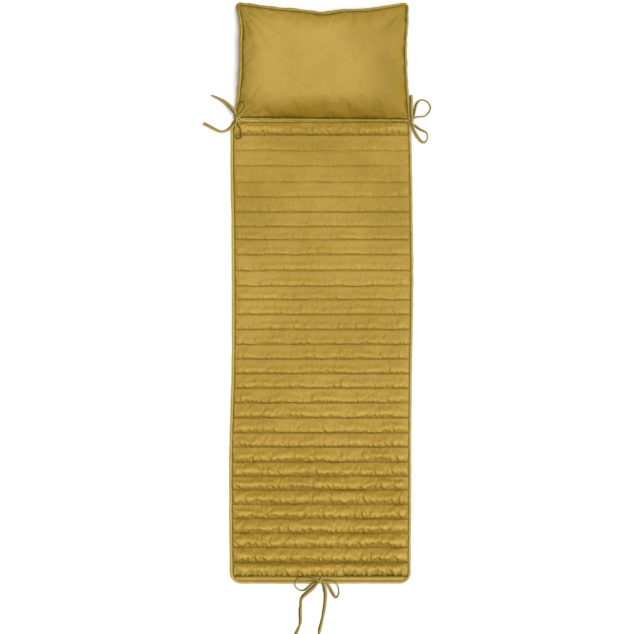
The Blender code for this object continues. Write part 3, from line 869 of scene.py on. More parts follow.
@dataclass
class QuiltedPad:
    """The long pad: two panels sewn together through the filling in crosswise rows.

    Lengths are in metres. The steps are shares of a channel, hollow_above and crest_rub shares
    of its crown, and what is named dark or spread, and the painted light at the foot, are shares
    of the full effect. The hollows, the sewn rows and the rim get painted shade, and the cloth gets
    painted light that grows towards the foot. hollow_below is how far under a row its painted
    shadow reaches.
    """

    head: float = 0.7733
    foot: float = -0.7733
    first_row: float = 0.7207
    last_row: float = -0.7493
    row_count: int = 31
    row_drift: float = 0.0115
    drift_skew: float = 0.85
    head_corner: float = 0.012
    foot_corner: float = 0.028
    rim_inset: float = 0.0083
    rim_top: float = 0.0080
    rim_bottom: float = 0.0030
    row_height: float = 0.0095
    crown_uneven: float = 0.0012
    row_wander: float = 0.0011
    fullness: float = 0.56
    shoulder_width: float = 0.036
    groove: float = 0.0022
    groove_reach: float = 0.06
    lift_taut: float = 0.85
    lift_slack: float = 0.45
    press_room: float = 0.8
    press_drag: float = 0.2
    slack_rise: float = 0.0085
    hollow_above: float = 0.32
    hollow_power: float = 1.5
    hollow_below: float = 0.006
    below_dark: float = 0.5
    below_spread: float = 0.14
    seam_dark_reach: float = 0.0028
    rim_dark: float = 0.9
    rim_dark_reach: float = 0.0030
    crest_rub: tuple[float, float] = (0.75, 1.05)
    foot_painted_light: tuple[float, float] = (0.15, 0.75)
    columns: int = 172
    steps: tuple[float, ...] = (
        0.0, 0.035, 0.09, 0.16, 0.24, 0.33, 0.42, 0.51, 0.6, 0.69, 0.78, 0.86, 0.925, 0.97,
    )
    band_steps: tuple[float, ...] = (0.0, 0.15, 0.35, 0.55, 0.75, 0.9, 1.0)
    filling: Filling = field(default_factory=Filling)
    gathers: Gathers = field(default_factory=Gathers)
    creases: StorageCreases = field(default_factory=StorageCreases)
    quilting: Table = (
        # row, its lift, crown of the channel below it, and in percent: where the crest is,
        # how round the fall to the next row is, gathers, how dark the painted shade in its hollows
        # is
        (0, 0.0, 16.0, 60, 50, 60, 22),
        (1, 2.0, 9.0, 74, 40, 90, 12),
        (2, 7.5, 7.5, 74, 40, 20, 10),
        (5, 7.0, 8.0, 74, 40, 22, 10),
        (6, 3.0, 9.5, 76, 36, 32, 14),
        (7, 5.0, 10.5, 80, 34, 28, 20),
        (13, 4.0, 13.5, 81, 32, 45, 40),
        (17, 2.5, 17.0, 79, 34, 65, 60),
        (21, 1.0, 20.0, 72, 42, 100, 66),
        (24, 0.0, 23.0, 63, 48, 145, 72),
        (29, 0.0, 23.0, 62, 48, 160, 80),
        (30, 0.0, 23.0, 50, 50, 200, 150),
        (31, 0.0, 20.0, 50, 50, 230, 150),
    )
    row_shifts: Table = (
        # row counted from 0, how far it lies from its even place
        (0, 0.0),
        (1, -2.4),
        (2, -2.5),
        (3, -6.5),
        (4, -5.0),
        (6, -3.4),
        (7, 3.0),
        (8, 2.8),
        (10, -3.0),
        (11, 1.2),
        (13, 0.0),
        (18, 0.0),
        (20, -3.0),
        (21, -1.6),
        (22, -3.4),
        (23, -2.5),
        (24, 0.0),
        (30, 0.0),
    )
    edge: Table = (
        # along, left, right
        (780, -300.5, 298.5),
        (622, -301.3, 303.0),
        (438, -298.0, 305.3),
        (238, -296.6, 307.3),
        (-62, -297.3, 303.0),
        (-295, -304.0, 300.7),
        (-495, -305.3, 300.0),
        (-780, -302.5, 298.3),
    )

    def seams(self) -> Places:
        """Along positions of the head rim and of the stitched rows."""
        part = np.arange(self.row_count) / (self.row_count - 1)
        even = self.first_row + (self.last_row - self.first_row) * part
        drift = self.row_drift * np.sin(np.pi * part**self.drift_skew)
        uneven = read_table(self.row_shifts, np.arange(self.row_count) * MM, 1)
        return np.concatenate([[self.head - self.rim_inset], even - drift + uneven])

    def row_table(self) -> tuple[Places, Places, Places]:
        """Along position, step in its channel and channel number of each grid row."""
        seams = self.seams()
        along, step, channel = [], [], []
        for number, (start, end) in enumerate(zip(seams, seams[1:])):
            for part in self.steps:
                along.append(start + (end - start) * part)
                step.append(part)
                channel.append(number)
        for part in self.band_steps:
            along.append(seams[-1] + (self.foot + self.rim_inset - seams[-1]) * part)
            step.append(0.0)
            channel.append(len(seams) - 2)
        return np.array(along), np.array(step), np.array(channel)

    def corner_cut(self, along: Places) -> Places:
        """How far the rim is drawn in at the rounded corners.

        Args:
            along: Places along the pad.

        Returns:
            One distance for each place.
        """
        cut = np.zeros_like(along)
        ends = (self.head - self.rim_inset, self.foot + self.rim_inset)
        for end, radius in zip(ends, (self.head_corner, self.foot_corner)):
            beyond = np.maximum(radius - np.abs(end - along), 0.0)
            cut += radius - np.sqrt(np.maximum(radius * radius - beyond * beyond, 0.0))
        return cut

    def sides(self, along: Places) -> tuple[Places, Places]:
        """Left and right rim of the cloth, inside the piping.

        Args:
            along: Places along the pad.

        Returns:
            Their places across.
        """
        cut = self.rim_inset + self.corner_cut(along)
        left = read_table(self.edge, along, Side.LEFT.value) + cut
        right = read_table(self.edge, along, Side.RIGHT.value) - cut
        return left, right

    def column_shares(self, columns: int) -> Places:
        """Share of the width at each column, closer together towards the sides."""
        even = np.linspace(-1.0, 1.0, columns + 1)
        return (0.72 * even + 0.28 * np.sin(even * np.pi / 2) + 1) / 2

    def shoulder(self, across: Places, along: Places) -> Places:
        """0 at the sides and 1 where the pad is full."""
        left, right = self.sides(along)
        inside = np.minimum(np.minimum(across - left, right - across), self.shoulder_width)
        return np.sqrt(np.maximum(1 - (1 - inside / self.shoulder_width) ** 2, 0.0))

    def quilt(self, number: Places, column: Quilt) -> Places:
        """One column of the quilting table at row numbers, lengths in metres."""
        rows = np.array(self.quilting, float)
        scale = MM if column in (Quilt.LIFT, Quilt.CROWN) else 0.01
        return np.interp(number, rows[:, 0], rows[:, column.value] * scale)

    def row_rise(self, across: Places, number: Places) -> Places:
        """How far a row stands above the lowest rows, more where its stitches are slack."""
        lift = self.quilt(number, Quilt.LIFT)
        slack = np.clip(ripple(across, number * 0.37, 0.055, 61, 2), 0.0, 1.0)
        return lift * (self.lift_taut + self.lift_slack * slack)

    def top(self) -> Thing:
        """The upper face, settled over its filling."""
        along, step, channel = self.row_table()
        grid = Grid(self.columns, len(along) - 1)
        sheet, column, row = grid.sheet("pad_top")
        y, t, number = along[row], step[row], channel[row]
        left, right = self.sides(y)
        x = left + (right - left) * self.column_shares(self.columns)[column]
        rim = grid.rim(column, row)
        shoulder = self.shoulder(x, y)
        rise = self.row_rise(x, number + t)
        crown = self.quilt(number + 0.0, Quilt.CROWN) + self.quilt(number + t, Quilt.LIFT) - rise
        crown += self.crown_uneven * ripple(x, number * 0.31, 0.11, 3, 2)
        skew = math.log(0.5) / np.log(self.quilt(number + 0.0, Quilt.CREST))
        fall = self.quilt(number + 0.0, Quilt.ROUND)
        power = self.fullness + (fall - self.fullness) * ease(t, 0.45, 0.75)
        full = np.sin(np.pi * t**skew) ** power * crown
        base = self.rim_top + (self.row_height + rise - self.rim_top) * shoulder
        z = np.where(rim, self.rim_top, base + full * shoulder)
        wander = self.row_wander * ripple(x, number * 0.53, 0.09, 41, 2) * shoulder
        y = np.where(rim, y, y + wander)
        move_points(sheet.data, np.stack([x, y, z], axis=1))
        sewn = np.where(rim | (t == 0.0), 1.0, 0.0)
        part = ease(self.quilt(number + 0.0, Quilt.CROWN), 0.004, 0.021)
        loose = np.where(sewn > 0, 0.0, part * (0.3 + 0.7 * ease(t, 0.2, 0.5)))
        self.filling.settle(sheet, sewn, loose)
        self.crumple(sheet, t, number, base)
        return sheet

    def crumple(self, sheet: Thing, step: Places, channel: Places, base: Places) -> None:
        """Presses the gathers and the storage creases into the settled face.

        Args:
            sheet: The face.
            step: Each point's step in its channel, from 0 to 1.
            channel: Each point's channel.
            base: The height that no point is pressed below.
        """
        seams = self.seams()
        points = points_of(sheet.data)
        x, y, z = points.T
        press = np.zeros(len(x))
        for number, (start, end) in enumerate(zip(seams, seams[1:])):
            here = (channel == number) & (step > 0)
            above = self.quilt(number + 1.0, Quilt.GATHERS) * (end < start)
            below = self.quilt(number + 0.0, Quilt.GATHERS) * self.gathers.under
            press[here] += above * self.gathers.press(x[here], y[here] - end, 101 + number)
            press[here] += below * self.gathers.press(x[here], start - y[here], 301 + number)
        press += self.creases.press(x, y)
        room = self.press_room * np.maximum(z - base, 1e-6)
        press = np.where(step > 0, np.tanh(press / room) * room, 0.0)
        y = y + self.press_drag * press * ease(step, 0.45, 0.9)
        z = z - press
        move_points(sheet.data, np.stack([x, y, z], axis=1))

    def underside(self, columns: int, rows_every: int) -> Thing:
        """The lower face, flat on the floor with a shallow groove at each row.

        Args:
            columns: How many columns it has.
            rows_every: Which of the upper face's rows it keeps.

        Returns:
            The face, open at its rim.
        """
        along, step, _ = self.row_table()
        kept = np.arange(0, len(along), rows_every)
        along, step = along[kept], step[kept]
        grid = Grid(columns, len(along) - 1)
        sheet, column, row = grid.sheet("pad_under")
        y, t = along[row], step[row]
        left, right = self.sides(y)
        x = left + (right - left) * self.column_shares(columns)[column]
        rim = grid.rim(column, row)
        near = np.minimum(t, 1 - t)
        raised = self.groove * np.exp(-((near / self.groove_reach) ** 2))
        side = self.rim_bottom * (1 - self.shoulder(x, y)) ** 2
        z = np.where(rim, self.rim_bottom, np.maximum(raised, side))
        move_points(sheet.data, np.stack([x, y, z], axis=1))
        return sheet

    def row_level(self, across: Places, along: Places) -> Places:
        """Height of the upper face on a stitched row.

        Args:
            across: Places across the pad.
            along: Places along it.

        Returns:
            One height for each place.
        """
        seams = self.seams()
        number = np.interp(-along, -seams, np.arange(len(seams)))
        rise = self.row_rise(across, number)
        return self.rim_top + (self.row_height + rise - self.rim_top) * self.shoulder(across, along)

    def cord_path(self) -> Places:
        """Middle of the piping, one point a row, run round to the left."""
        head, foot = self.head - self.rim_inset, self.foot + self.rim_inset
        bend = np.sin(np.linspace(0.0, np.pi / 2, 14))
        along = np.concatenate(
            [
                foot + self.foot_corner * (1 - bend[::-1]),
                np.linspace(foot + self.foot_corner, head - self.head_corner, 300)[1:-1],
                head - self.head_corner * (1 - bend),
            ]
        )
        left, right = self.sides(along)
        level = np.linspace(right[-1], left[-1], 120)[1:-1]
        lower = np.linspace(left[0], right[0], 120)[1:-1]
        loop = np.vstack(
            [
                np.column_stack([right, along]),
                np.column_stack([level, np.full(len(level), head)]),
                np.column_stack([left, along])[::-1],
                np.column_stack([lower, np.full(len(lower), foot)]),
            ]
        )
        loop = shifted(even_path(loop, 1400, True), self.rim_inset - 0.004)
        return np.column_stack([loop, np.full(len(loop), (self.rim_top + self.rim_bottom) / 2)])

    def build(self) -> Thing:
        """The pad as one closed, dressed body."""
        top = self.top()
        pad = close_faces("pad", top, self.underside(self.columns // 2, 2))
        points = points_of(pad.data)
        set_cloth_map(pad.data, points[:, :2])
        self.mask(pad, points)
        return pad

    def mask(self, pad: Thing, points: Places) -> None:
        """Marks painted shade in the hollows beside the seams, along the sewn rows and along the
        rim, the rubbed ridges, and painted light that grows towards the foot, for the finish.

        Args:
            pad: The pad.
            points: Its vertices.
        """
        x, y, z = points.T
        seams = self.seams()
        number = np.interp(-y, -seams, np.arange(len(seams)))
        channel = np.floor(number)
        part = number - channel
        left, right = self.sides(y)
        side = np.minimum(x - left, right - x)
        shoulder = self.shoulder(x, y)
        height = z - self.row_level(x, y)
        gap = np.abs(y[:, None] - seams[None, 1:]).min(axis=1)
        crown = self.quilt(channel, Quilt.CROWN) * np.maximum(shoulder, 0.15)
        # Painted shade in the hollow above each row, and a painted shadow under it.
        above = np.clip(1 - height / (self.hollow_above * crown), 0.0, 1.0) ** self.hollow_power
        below = self.below_dark * np.exp(-gap / self.hollow_below)
        below += self.below_spread * np.clip(1 - 2 * part, 0.0, 1.0)
        deep = self.quilt(channel, Quilt.SHADE)
        hollow = np.where(part > 0.5, above, below * shoulder) * deep
        hollow *= number < self.row_count
        # Painted shade: a dark line along each sewn row, weaker where its stitches are slack.
        taut = np.clip(1 - self.row_rise(x, number) / self.slack_rise, 0.1, 1.0)
        line = taut * np.exp(-((gap / self.seam_dark_reach) ** 2))
        hollow = np.maximum(hollow, line)
        # Painted shade: a dark band along the rim, inside the piping.
        ends = np.minimum(y - self.foot, self.head - y) - self.rim_inset
        inside = np.maximum(np.minimum(side, ends), 0.0)
        rim = self.rim_dark * np.exp(-((inside / self.rim_dark_reach) ** 2))
        upper = z > self.rim_top - 0.0005
        set_mask(pad.data, "groove", np.where(upper, np.maximum(hollow, rim), 0.0))
        ridge = ease(height / np.maximum(crown, 0.004), *self.crest_rub)
        ridge *= 0.4 + 0.6 * np.minimum(deep, 1.0)
        set_mask(pad.data, "ridge", np.where(upper, ridge, 0.0))
        # Painted light, growing towards the foot.
        least, more = self.foot_painted_light
        set_mask(pad.data, "faded", least + more * ease(-y, -0.75, 0.75))


# ---------------------------------------------------------------- outlines


def even_path(points: Places, count: int, closed: bool = False) -> Places:
    """The path's points spread evenly over its length.

    Args:
        points: One point a row, in the plane or in space.
        count: How many equal steps.
        closed: True where the last point runs on to the first.

    Returns:
        count points of a closed path, or count + 1 of an open one.
    """
    path = np.vstack([points, points[:1]]) if closed else points
    runs = np.linalg.norm(np.diff(path, axis=0), axis=1)
    reached = np.concatenate([[0.0], np.cumsum(runs)])
    wanted = np.linspace(0.0, reached[-1], count + 1)
    spread = np.stack([np.interp(wanted, reached, part) for part in path.T], axis=1)
    return spread[:-1] if closed else spread


def path_length(points: Places, closed: bool = False) -> float:
    """Length of a path in metres."""
    path = np.vstack([points, points[:1]]) if closed else points
    return float(np.linalg.norm(np.diff(path, axis=0), axis=1).sum())


def outward(points: Places) -> Places:
    """Level unit normals of a closed path that runs round to the left, pointing out."""
    run = np.roll(points, -1, axis=0) - np.roll(points, 1, axis=0)
    normal = np.stack([run[:, 1], -run[:, 0]], axis=1)
    return normal / np.linalg.norm(normal, axis=1, keepdims=True)


def shifted(points: Places, distance: float) -> Places:
    """A closed path in the plane moved out by a distance."""
    return points + outward(points) * distance


def closed_ring(name: str, points: Places, flat: Places) -> Thing:
    """A closed body from a grid of points that runs round in both directions.

    Args:
        name: The object's name.
        points: Shape (n + 1, m + 1, 3), the last of each direction a repeat of the first.
        flat: Shape (n + 1, m + 1, 2), the same points on the flat cloth.

    Returns:
        The body.
    """
    around, over = points.shape[0] - 1, points.shape[1] - 1
    sheet, column, row = Grid(around, over).sheet(name)
    move_points(sheet.data, points[column, row])
    set_cloth_map(sheet.data, flat[column, row])
    bm = bmesh.new()
    bm.from_mesh(sheet.data)
    bmesh.ops.remove_doubles(bm, verts=bm.verts[:], dist=1e-6)
    bmesh.ops.recalc_face_normals(bm, faces=bm.faces[:])
    bm.to_mesh(sheet.data)
    bm.free()
    sheet.data.shade_smooth()
    return sheet


def wrapped(values: Places) -> Places:
    """The rows with the first one repeated at the end."""
    return np.concatenate([values, values[:1]])


# ---------------------------------------------------------------- head pillow


@dataclass(frozen=True)
class CornerCreases:
    """Pointed creases that fan out from the pillow's corners and die away.

    The sharpness below 1 makes the hollows narrow. The onset is how soon they start.
    """

    sharpness: float = 0.45
    onset: float = 7.0
    wobble: float = 0.5
    wobble_rate: float = 3.0
    rows: Table = (
        # across, along, depth, reach, creases a radian, turn
        (-275, 1155, 10.5, 80, 20.0, 0.4),
        (282, 1155, 8.5, 60, 20.0, 1.3),
        (-290, 770, 13.0, 45, 18.0, 2.0),
        (292, 768, 7.0, 40, 18.0, 0.2),
    )

    def height(self, place: Places) -> Places:
        """How far they raise the cloth at some places, less than 0 in their hollows."""
        total = np.zeros(len(place))
        for across, along, depth, reach, creases, turn in self.rows:
            away = place - np.array([across, along]) * MM
            far = np.hypot(away[:, 0], away[:, 1]) / (reach * MM)
            angle = np.arctan2(away[:, 1], away[:, 0])
            bend = self.wobble * np.sin(far * self.wobble_rate + turn)
            wave = np.sin((creases * angle + turn + bend) / 2)
            wave = 1.5 * np.abs(wave) ** self.sharpness - 1
            fade = np.exp(-far) * (1 - np.exp(-far * self.onset))
            total += depth * MM * wave * fade
        return total


@dataclass
class HeadPillow:
    """The filled pillow, drawn in at its sides, resting flat inside its rounded edge.

    Lengths are in metres. Powers and reaches shape the crown and the flat underside, over
    shares of the pillow that run from -1 to 1.
    """

    crown: float = 0.0455
    fullness: float = 0.64
    across_power: float = 2.4
    head_power: float = 3.4
    foot_power: float = 5.0
    flat_power: float = 4.0
    flat_reach: float = 2.2
    lift_power: float = 1.5
    corner_height: float = 0.0138
    seam_rise: float = 0.031
    rise_reach: float = 0.42
    inner_reach: float = 0.24
    seam_half: float = 0.0015
    rim_inset: float = 0.0083
    uneven: float = 0.0016
    rim_gather: float = 0.0024
    rim_gather_reach: float = 0.07
    # Painted shade along the rim and in the crease valleys, and painted light on the crown that
    # gives way to painted shade towards the edges.
    rim_dark: float = 0.9
    rim_dark_reach: float = 0.0045
    valley_dark: float = 0.75
    valley_depth: float = 0.004
    edge_shade_start: tuple[float, ...] = (0.3, 0.0, 0.0, 0.5)
    fade: tuple[float, ...] = (0.10, 0.30, 0.10, 0.05)
    head_reach: float = 0.020
    foot_reach: float = 0.008
    edge_points: int = 60
    across: int = 116
    along: int = 80
    filling: Filling = field(
        default_factory=lambda: Filling(pressure=1.0, too_big=0.03, bend=0.3, cap=0.006)
    )
    creases: CornerCreases = field(default_factory=CornerCreases)
    side: Table = (
        # along, left, right
        (773, -292.0, 297.3),
        (838, -280.3, 293.0),
        (930, -271.8, 286.9),
        (1010, -271.0, 285.3),
        (1082, -270.0, 289.2),
        (1160, -285.0, 291.5),
    )
    head: Table = (
        # across, along
        (-285, 1165.0),
        (-154, 1145.0),
        (-70, 1137.5),
        (8, 1128.5),
        (70, 1137.3),
        (163, 1141.5),
        (291, 1165.0),
    )
    foot: Table = (
        # across, along
        (-292, 771.5),
        (0, 768.0),
        (298, 765.6),
    )

    def edge(self, places: Places, level: Table | Side) -> Places:
        """Points of an edge: of an end's own table, or of one side at places along."""
        if isinstance(level, Side):
            return np.stack([read_table(self.side, places, level.value), places], axis=1)
        return np.stack([places, read_table(level, places, 1)], axis=1)

    def outline(self) -> list[Places]:
        """Outer outline, piping included: foot, right, head and left, run round to the left."""
        west, east = self.foot[0][0] * MM, self.foot[-1][0] * MM
        far_west, far_east = self.head[0][0] * MM, self.head[-1][0] * MM
        low, high = self.side[0][0] * MM, self.side[-1][0] * MM
        near, far, count = self.foot_reach, self.head_reach, self.edge_points
        sides = [
            self.edge(np.linspace(west + near, east - near, count), self.foot),
            self.edge(np.linspace(low + near, high - far, count), Side.RIGHT),
            self.edge(np.linspace(far_east - far, far_west + far, count), self.head),
            self.edge(np.linspace(high - far, low + near, count), Side.LEFT),
        ]
        corners = (
            (east, self.foot[-1][1] * MM),
            (far_east, self.head[-1][1] * MM),
            (far_west, self.head[0][1] * MM),
            (west, self.foot[0][1] * MM),
        )
        t = np.linspace(0.0, 1.0, 13)[1:-1, None]
        bends = [
            sides[i][-1] * (1 - t) ** 2
            + np.array(corners[i]) * (2 * t * (1 - t))
            + sides[(i + 1) % 4][0] * t * t
            for i in range(4)
        ]
        counts = (self.across, self.along, self.across, self.along)
        return [
            even_path(np.vstack([bends[i - 1][5:], sides[i], bends[i][:6]]), counts[i])
            for i in range(4)
        ]

    def patch(self, u: Places, v: Places) -> Places:
        """Points in the plane inside the seam, for shares across and along.

        Args:
            u: Shares across, from 0 to 1.
            v: Shares along, from 0 to 1.

        Returns:
            One point a row.
        """
        outer = self.outline()
        starts = np.cumsum([0] + [len(part) - 1 for part in outer])
        loop = shifted(np.vstack([part[:-1] for part in outer]), -self.rim_inset)
        loop = np.vstack([loop, loop[:1]])
        foot, right, head, left = (loop[a : b + 1] for a, b in zip(starts, starts[1:]))
        head, left = head[::-1], left[::-1]

        def read(line: Places, share: Places) -> Places:
            """Points of one edge at shares of its length."""
            even = np.linspace(0.0, 1.0, len(line))
            return np.stack([np.interp(share, even, part) for part in line.T], axis=-1)

        u_, v_ = u[..., None], v[..., None]
        ends = read(foot, u) * (1 - v_) + read(head, u) * v_
        sides = read(left, v) * (1 - u_) + read(right, v) * u_
        low = foot[0] * (1 - u_) + foot[-1] * u_
        high = head[0] * (1 - u_) + head[-1] * u_
        return ends + sides - (low * (1 - v_) + high * v_)

    def seam_height(self, u: Places, v: Places, rise_reach: float) -> Places:
        """Height of the seam, lowest at the corners and along the foot.

        Args:
            u: Places across, from -1 to 1.
            v: Places along, from -1 at the foot to 1 at the head.
            rise_reach: The share of the length over which it rises.

        Returns:
            One height for each place.
        """
        reach = np.minimum((v + 1) / 2 / rise_reach, 1.0)
        rise = self.seam_rise * reach * reach * (3 - 2 * reach)
        return self.corner_height + rise * np.maximum(1 - u**4, 1 - np.maximum(v, 0) ** 4)

    def top(self) -> Thing:
        """The upper face, settled over its filling."""
        grid = Grid(self.across, self.along)
        sheet, column, row = grid.sheet("pillow_top")
        share_u, share_v = column / self.across, row / self.along
        u, v = 2 * share_u - 1, 2 * share_v - 1
        place = self.patch(share_u, share_v)
        height = self.seam_height(u, v, self.rise_reach) + self.seam_half
        inner = self.seam_height(u, v, self.inner_reach) + self.seam_half
        height += (inner - height) * (1 - np.abs(u) ** 4)
        power = np.where(v > 0, self.head_power, self.foot_power)
        full = (1 - np.abs(u) ** self.across_power) * (1 - np.abs(v) ** power)
        rim = grid.rim(column, row)
        swell = self.crown * full**self.fullness
        swell += self.uneven * ripple(place[:, 0], place[:, 1], 0.16, 71, 2) * full
        edge = 1 - np.maximum(np.abs(u), np.abs(v))
        gather = ripple(place[:, 0], place[:, 1], 0.022, 77, 2)
        swell += self.rim_gather * gather * np.exp(-edge / self.rim_gather_reach)
        folds = self.creases.height(place)
        z = np.where(rim, height, height + swell + folds * np.minimum(full * 6, 1.0))
        move_points(sheet.data, np.stack([place[:, 0], place[:, 1], z], axis=1))
        self.filling.settle(sheet, rim.astype(float), 1 - 0.7 * ease(edge, 0.1, 0.5))
        return sheet

    def underside(self, columns: int, rows: int) -> Thing:
        """The lower face, flat on the floor inside its rounded edge.

        Args:
            columns: How many columns it has.
            rows: How many rows.

        Returns:
            The face, open at its rim.
        """
        sheet, column, row = Grid(columns, rows).sheet("pillow_under")
        share_u, share_v = column / columns, row / rows
        u, v = 2 * share_u - 1, 2 * share_v - 1
        place = self.patch(share_u, share_v)
        height = self.seam_height(u, v, self.rise_reach) - self.seam_half
        lifted = 1 - self.flat_reach * (1 - u**self.flat_power) * (1 - v**self.flat_power)
        z = height * np.maximum(lifted, 0.0) ** self.lift_power
        move_points(sheet.data, np.stack([place[:, 0], place[:, 1], z], axis=1))
        return sheet

    def build(self) -> Thing:
        """The pillow as one closed body."""
        top = self.top()
        pillow = close_faces("pillow_body", top, self.underside(self.across // 2, self.along // 2))
        points = points_of(pillow.data)
        set_cloth_map(pillow.data, points[:, :2])
        self.mask(pillow, points)
        smoother = pillow.modifiers.new("rounding", "SUBSURF")
        smoother.levels = smoother.render_levels = 1
        return pillow

    def mask(self, pillow: Thing, points: Places) -> None:
        """Marks painted shade along the rim and in the crease valleys, painted light on the crown
        that gives way to painted shade towards the edges, and its rubbed top.

        Args:
            pillow: The pillow.
            points: Its vertices.
        """
        x, y, z = points.T
        left = x - read_table(self.side, y, Side.LEFT.value)
        right = read_table(self.side, y, Side.RIGHT.value) - x
        foot = y - read_table(self.foot, x, 1)
        head = read_table(self.head, x, 1) - y
        near = np.minimum(np.minimum(left, right), np.minimum(foot, head)) - self.rim_inset
        near = np.maximum(near, 0.0)
        # Painted shade: a dark band along the rim, inside the piping.
        uneven = np.clip(ripple(x, y, 0.016, 79, 2), -0.7, 2.0)
        reach = self.rim_dark_reach * (1 + 0.9 * uneven)
        rim = self.rim_dark * np.exp(-((near / reach) ** 2))
        # Painted shade in the hollows of the corner creases.
        valley = ease(-self.creases.height(points[:, :2]), 0.0, self.valley_depth)
        valley = self.valley_dark * valley * ease(near, 0.0, 0.006)
        set_mask(pillow.data, "groove", np.maximum(rim, valley))
        # Painted light on the crown, and painted shade towards the edges, most at the foot and
        # right.
        faded = 1.0
        for gap, start, width in zip((left, right, foot, head), self.edge_shade_start, self.fade):
            faded = faded * (start + (1 - start) * ease(gap, 0.0, width))
        set_mask(pillow.data, "faded", faded)
        set_mask(pillow.data, "ridge", ease(z, 0.07, 0.10) * 0.4)

    def cord_path(self) -> Places:
        """Middle of the piping, one point a row."""
        outer = self.outline()
        loop = np.vstack([part[:-1] for part in outer])
        over = np.linspace(-1, 1, self.across + 1)
        up = np.linspace(-1, 1, self.along + 1)
        at_side, at_end = np.ones(self.along), np.ones(self.across)
        u = np.concatenate([over[:-1], at_side, over[:0:-1], -at_side])
        v = np.concatenate([-at_end, up[:-1], at_end, up[:0:-1]])
        return np.column_stack([shifted(loop, -0.004), self.seam_height(u, v, self.rise_reach)])


# ---------------------------------------------------------------- piping


@dataclass
class Piping:
    """Cloth cut on the slant and sewn round a cord, gathered a little as it turns.

    The wander is how far its outer side strays, the lip how far it reaches over the seam.
    The side turned away from the light gets painted shade.
    """

    radius: float = 0.0040
    sides: int = 14
    step: float = 0.0045
    ring: float = 40.0
    wander: float = 0.0005
    pucker: float = 0.00025
    lip: float = 0.0007
    # Painted shade on the side turned away from the light: its share and the direction it faces.
    side_shade: float = 0.5
    away_from_light: tuple[float, float, float] = (-0.53, 0.85, 0.0)
    rub: float = 0.35
    seed: int = 1

    def build(self, name: str, path: Places) -> Thing:
        """The cord along a closed path.

        Args:
            name: The object's name.
            path: Middle of the cord, one point a row, run round to the left.

        Returns:
            The cord.
        """
        count = round(path_length(path, True) / self.step)
        path = even_path(path, count, True)
        run = np.arange(count) * self.step
        angle = np.linspace(0.0, 2 * np.pi, self.sides + 1)
        reach, rise = self.unevenness(run, angle)
        path[:, 2] += rise
        level = (reach * np.cos(angle))[..., None] * outward(path[:, :2])[:, None, :]
        points = np.empty((count, self.sides + 1, 3))
        points[..., :2] = path[:, None, :2] + level
        points[..., 2] = path[:, None, 2] + reach * np.sin(angle)
        length, girth = np.arange(count + 1) * self.step, angle * self.radius
        slant = math.sqrt(0.5)
        flat = np.stack(
            [
                (length[:, None] + girth[None, :]) * slant,
                (length[:, None] - girth[None, :]) * slant,
            ],
            axis=-1,
        )
        cord = closed_ring(name, wrapped(points), flat)
        # Painted shade on the side of the cord that faces away from the light.
        facing = np.empty(len(cord.data.vertices) * 3, np.float32)
        cord.data.vertices.foreach_get("normal", facing)
        away = facing.reshape(-1, 3) @ np.array(self.away_from_light)
        set_mask(cord.data, "groove", self.side_shade * ease(away, 0.05, 0.75))
        set_mask(cord.data, "ridge", np.full(len(away), self.rub))
        return cord

    def unevenness(self, run: Places, angle: Places) -> tuple[Places, Places]:
        """How uneven the cord is.

        Args:
            run: Places along it, from its start.
            angle: Places round it, from its outer side.

        Returns:
            Its radius at each place, a row for each place along, and how far its middle rises.
        """
        turn = 2 * np.pi * run / (len(run) * self.step)
        x, y = self.ring * np.cos(turn), self.ring * np.sin(turn)
        stray = self.wander * ripple(x, y, 2.2, self.seed, 2)
        rise = self.wander * 0.7 * ripple(x, y, 1.8, self.seed + 3, 2)
        outer = np.cos(angle)[None, :]
        gather = ripple(run[:, None] + 0 * angle, 0.006 * outer, 0.011, self.seed + 9, 2)
        gather *= self.pucker * np.sqrt(0.5 + 0.5 * np.cos(angle - np.pi))[None, :] * 1.6
        lip = self.lip * np.maximum(-outer, 0.0) ** 8
        reach = self.radius + gather + lip + stray[:, None] * np.maximum(outer, 0.0)
        reach[:, -1] = reach[:, 0]
        return reach, rise


# ---------------------------------------------------------------- tied tapes


class Strand(Enum):
    """How a strand of a bow leaves the knot."""

    END = "ends"
    LOOP = "loops"
    ROOT = "root"


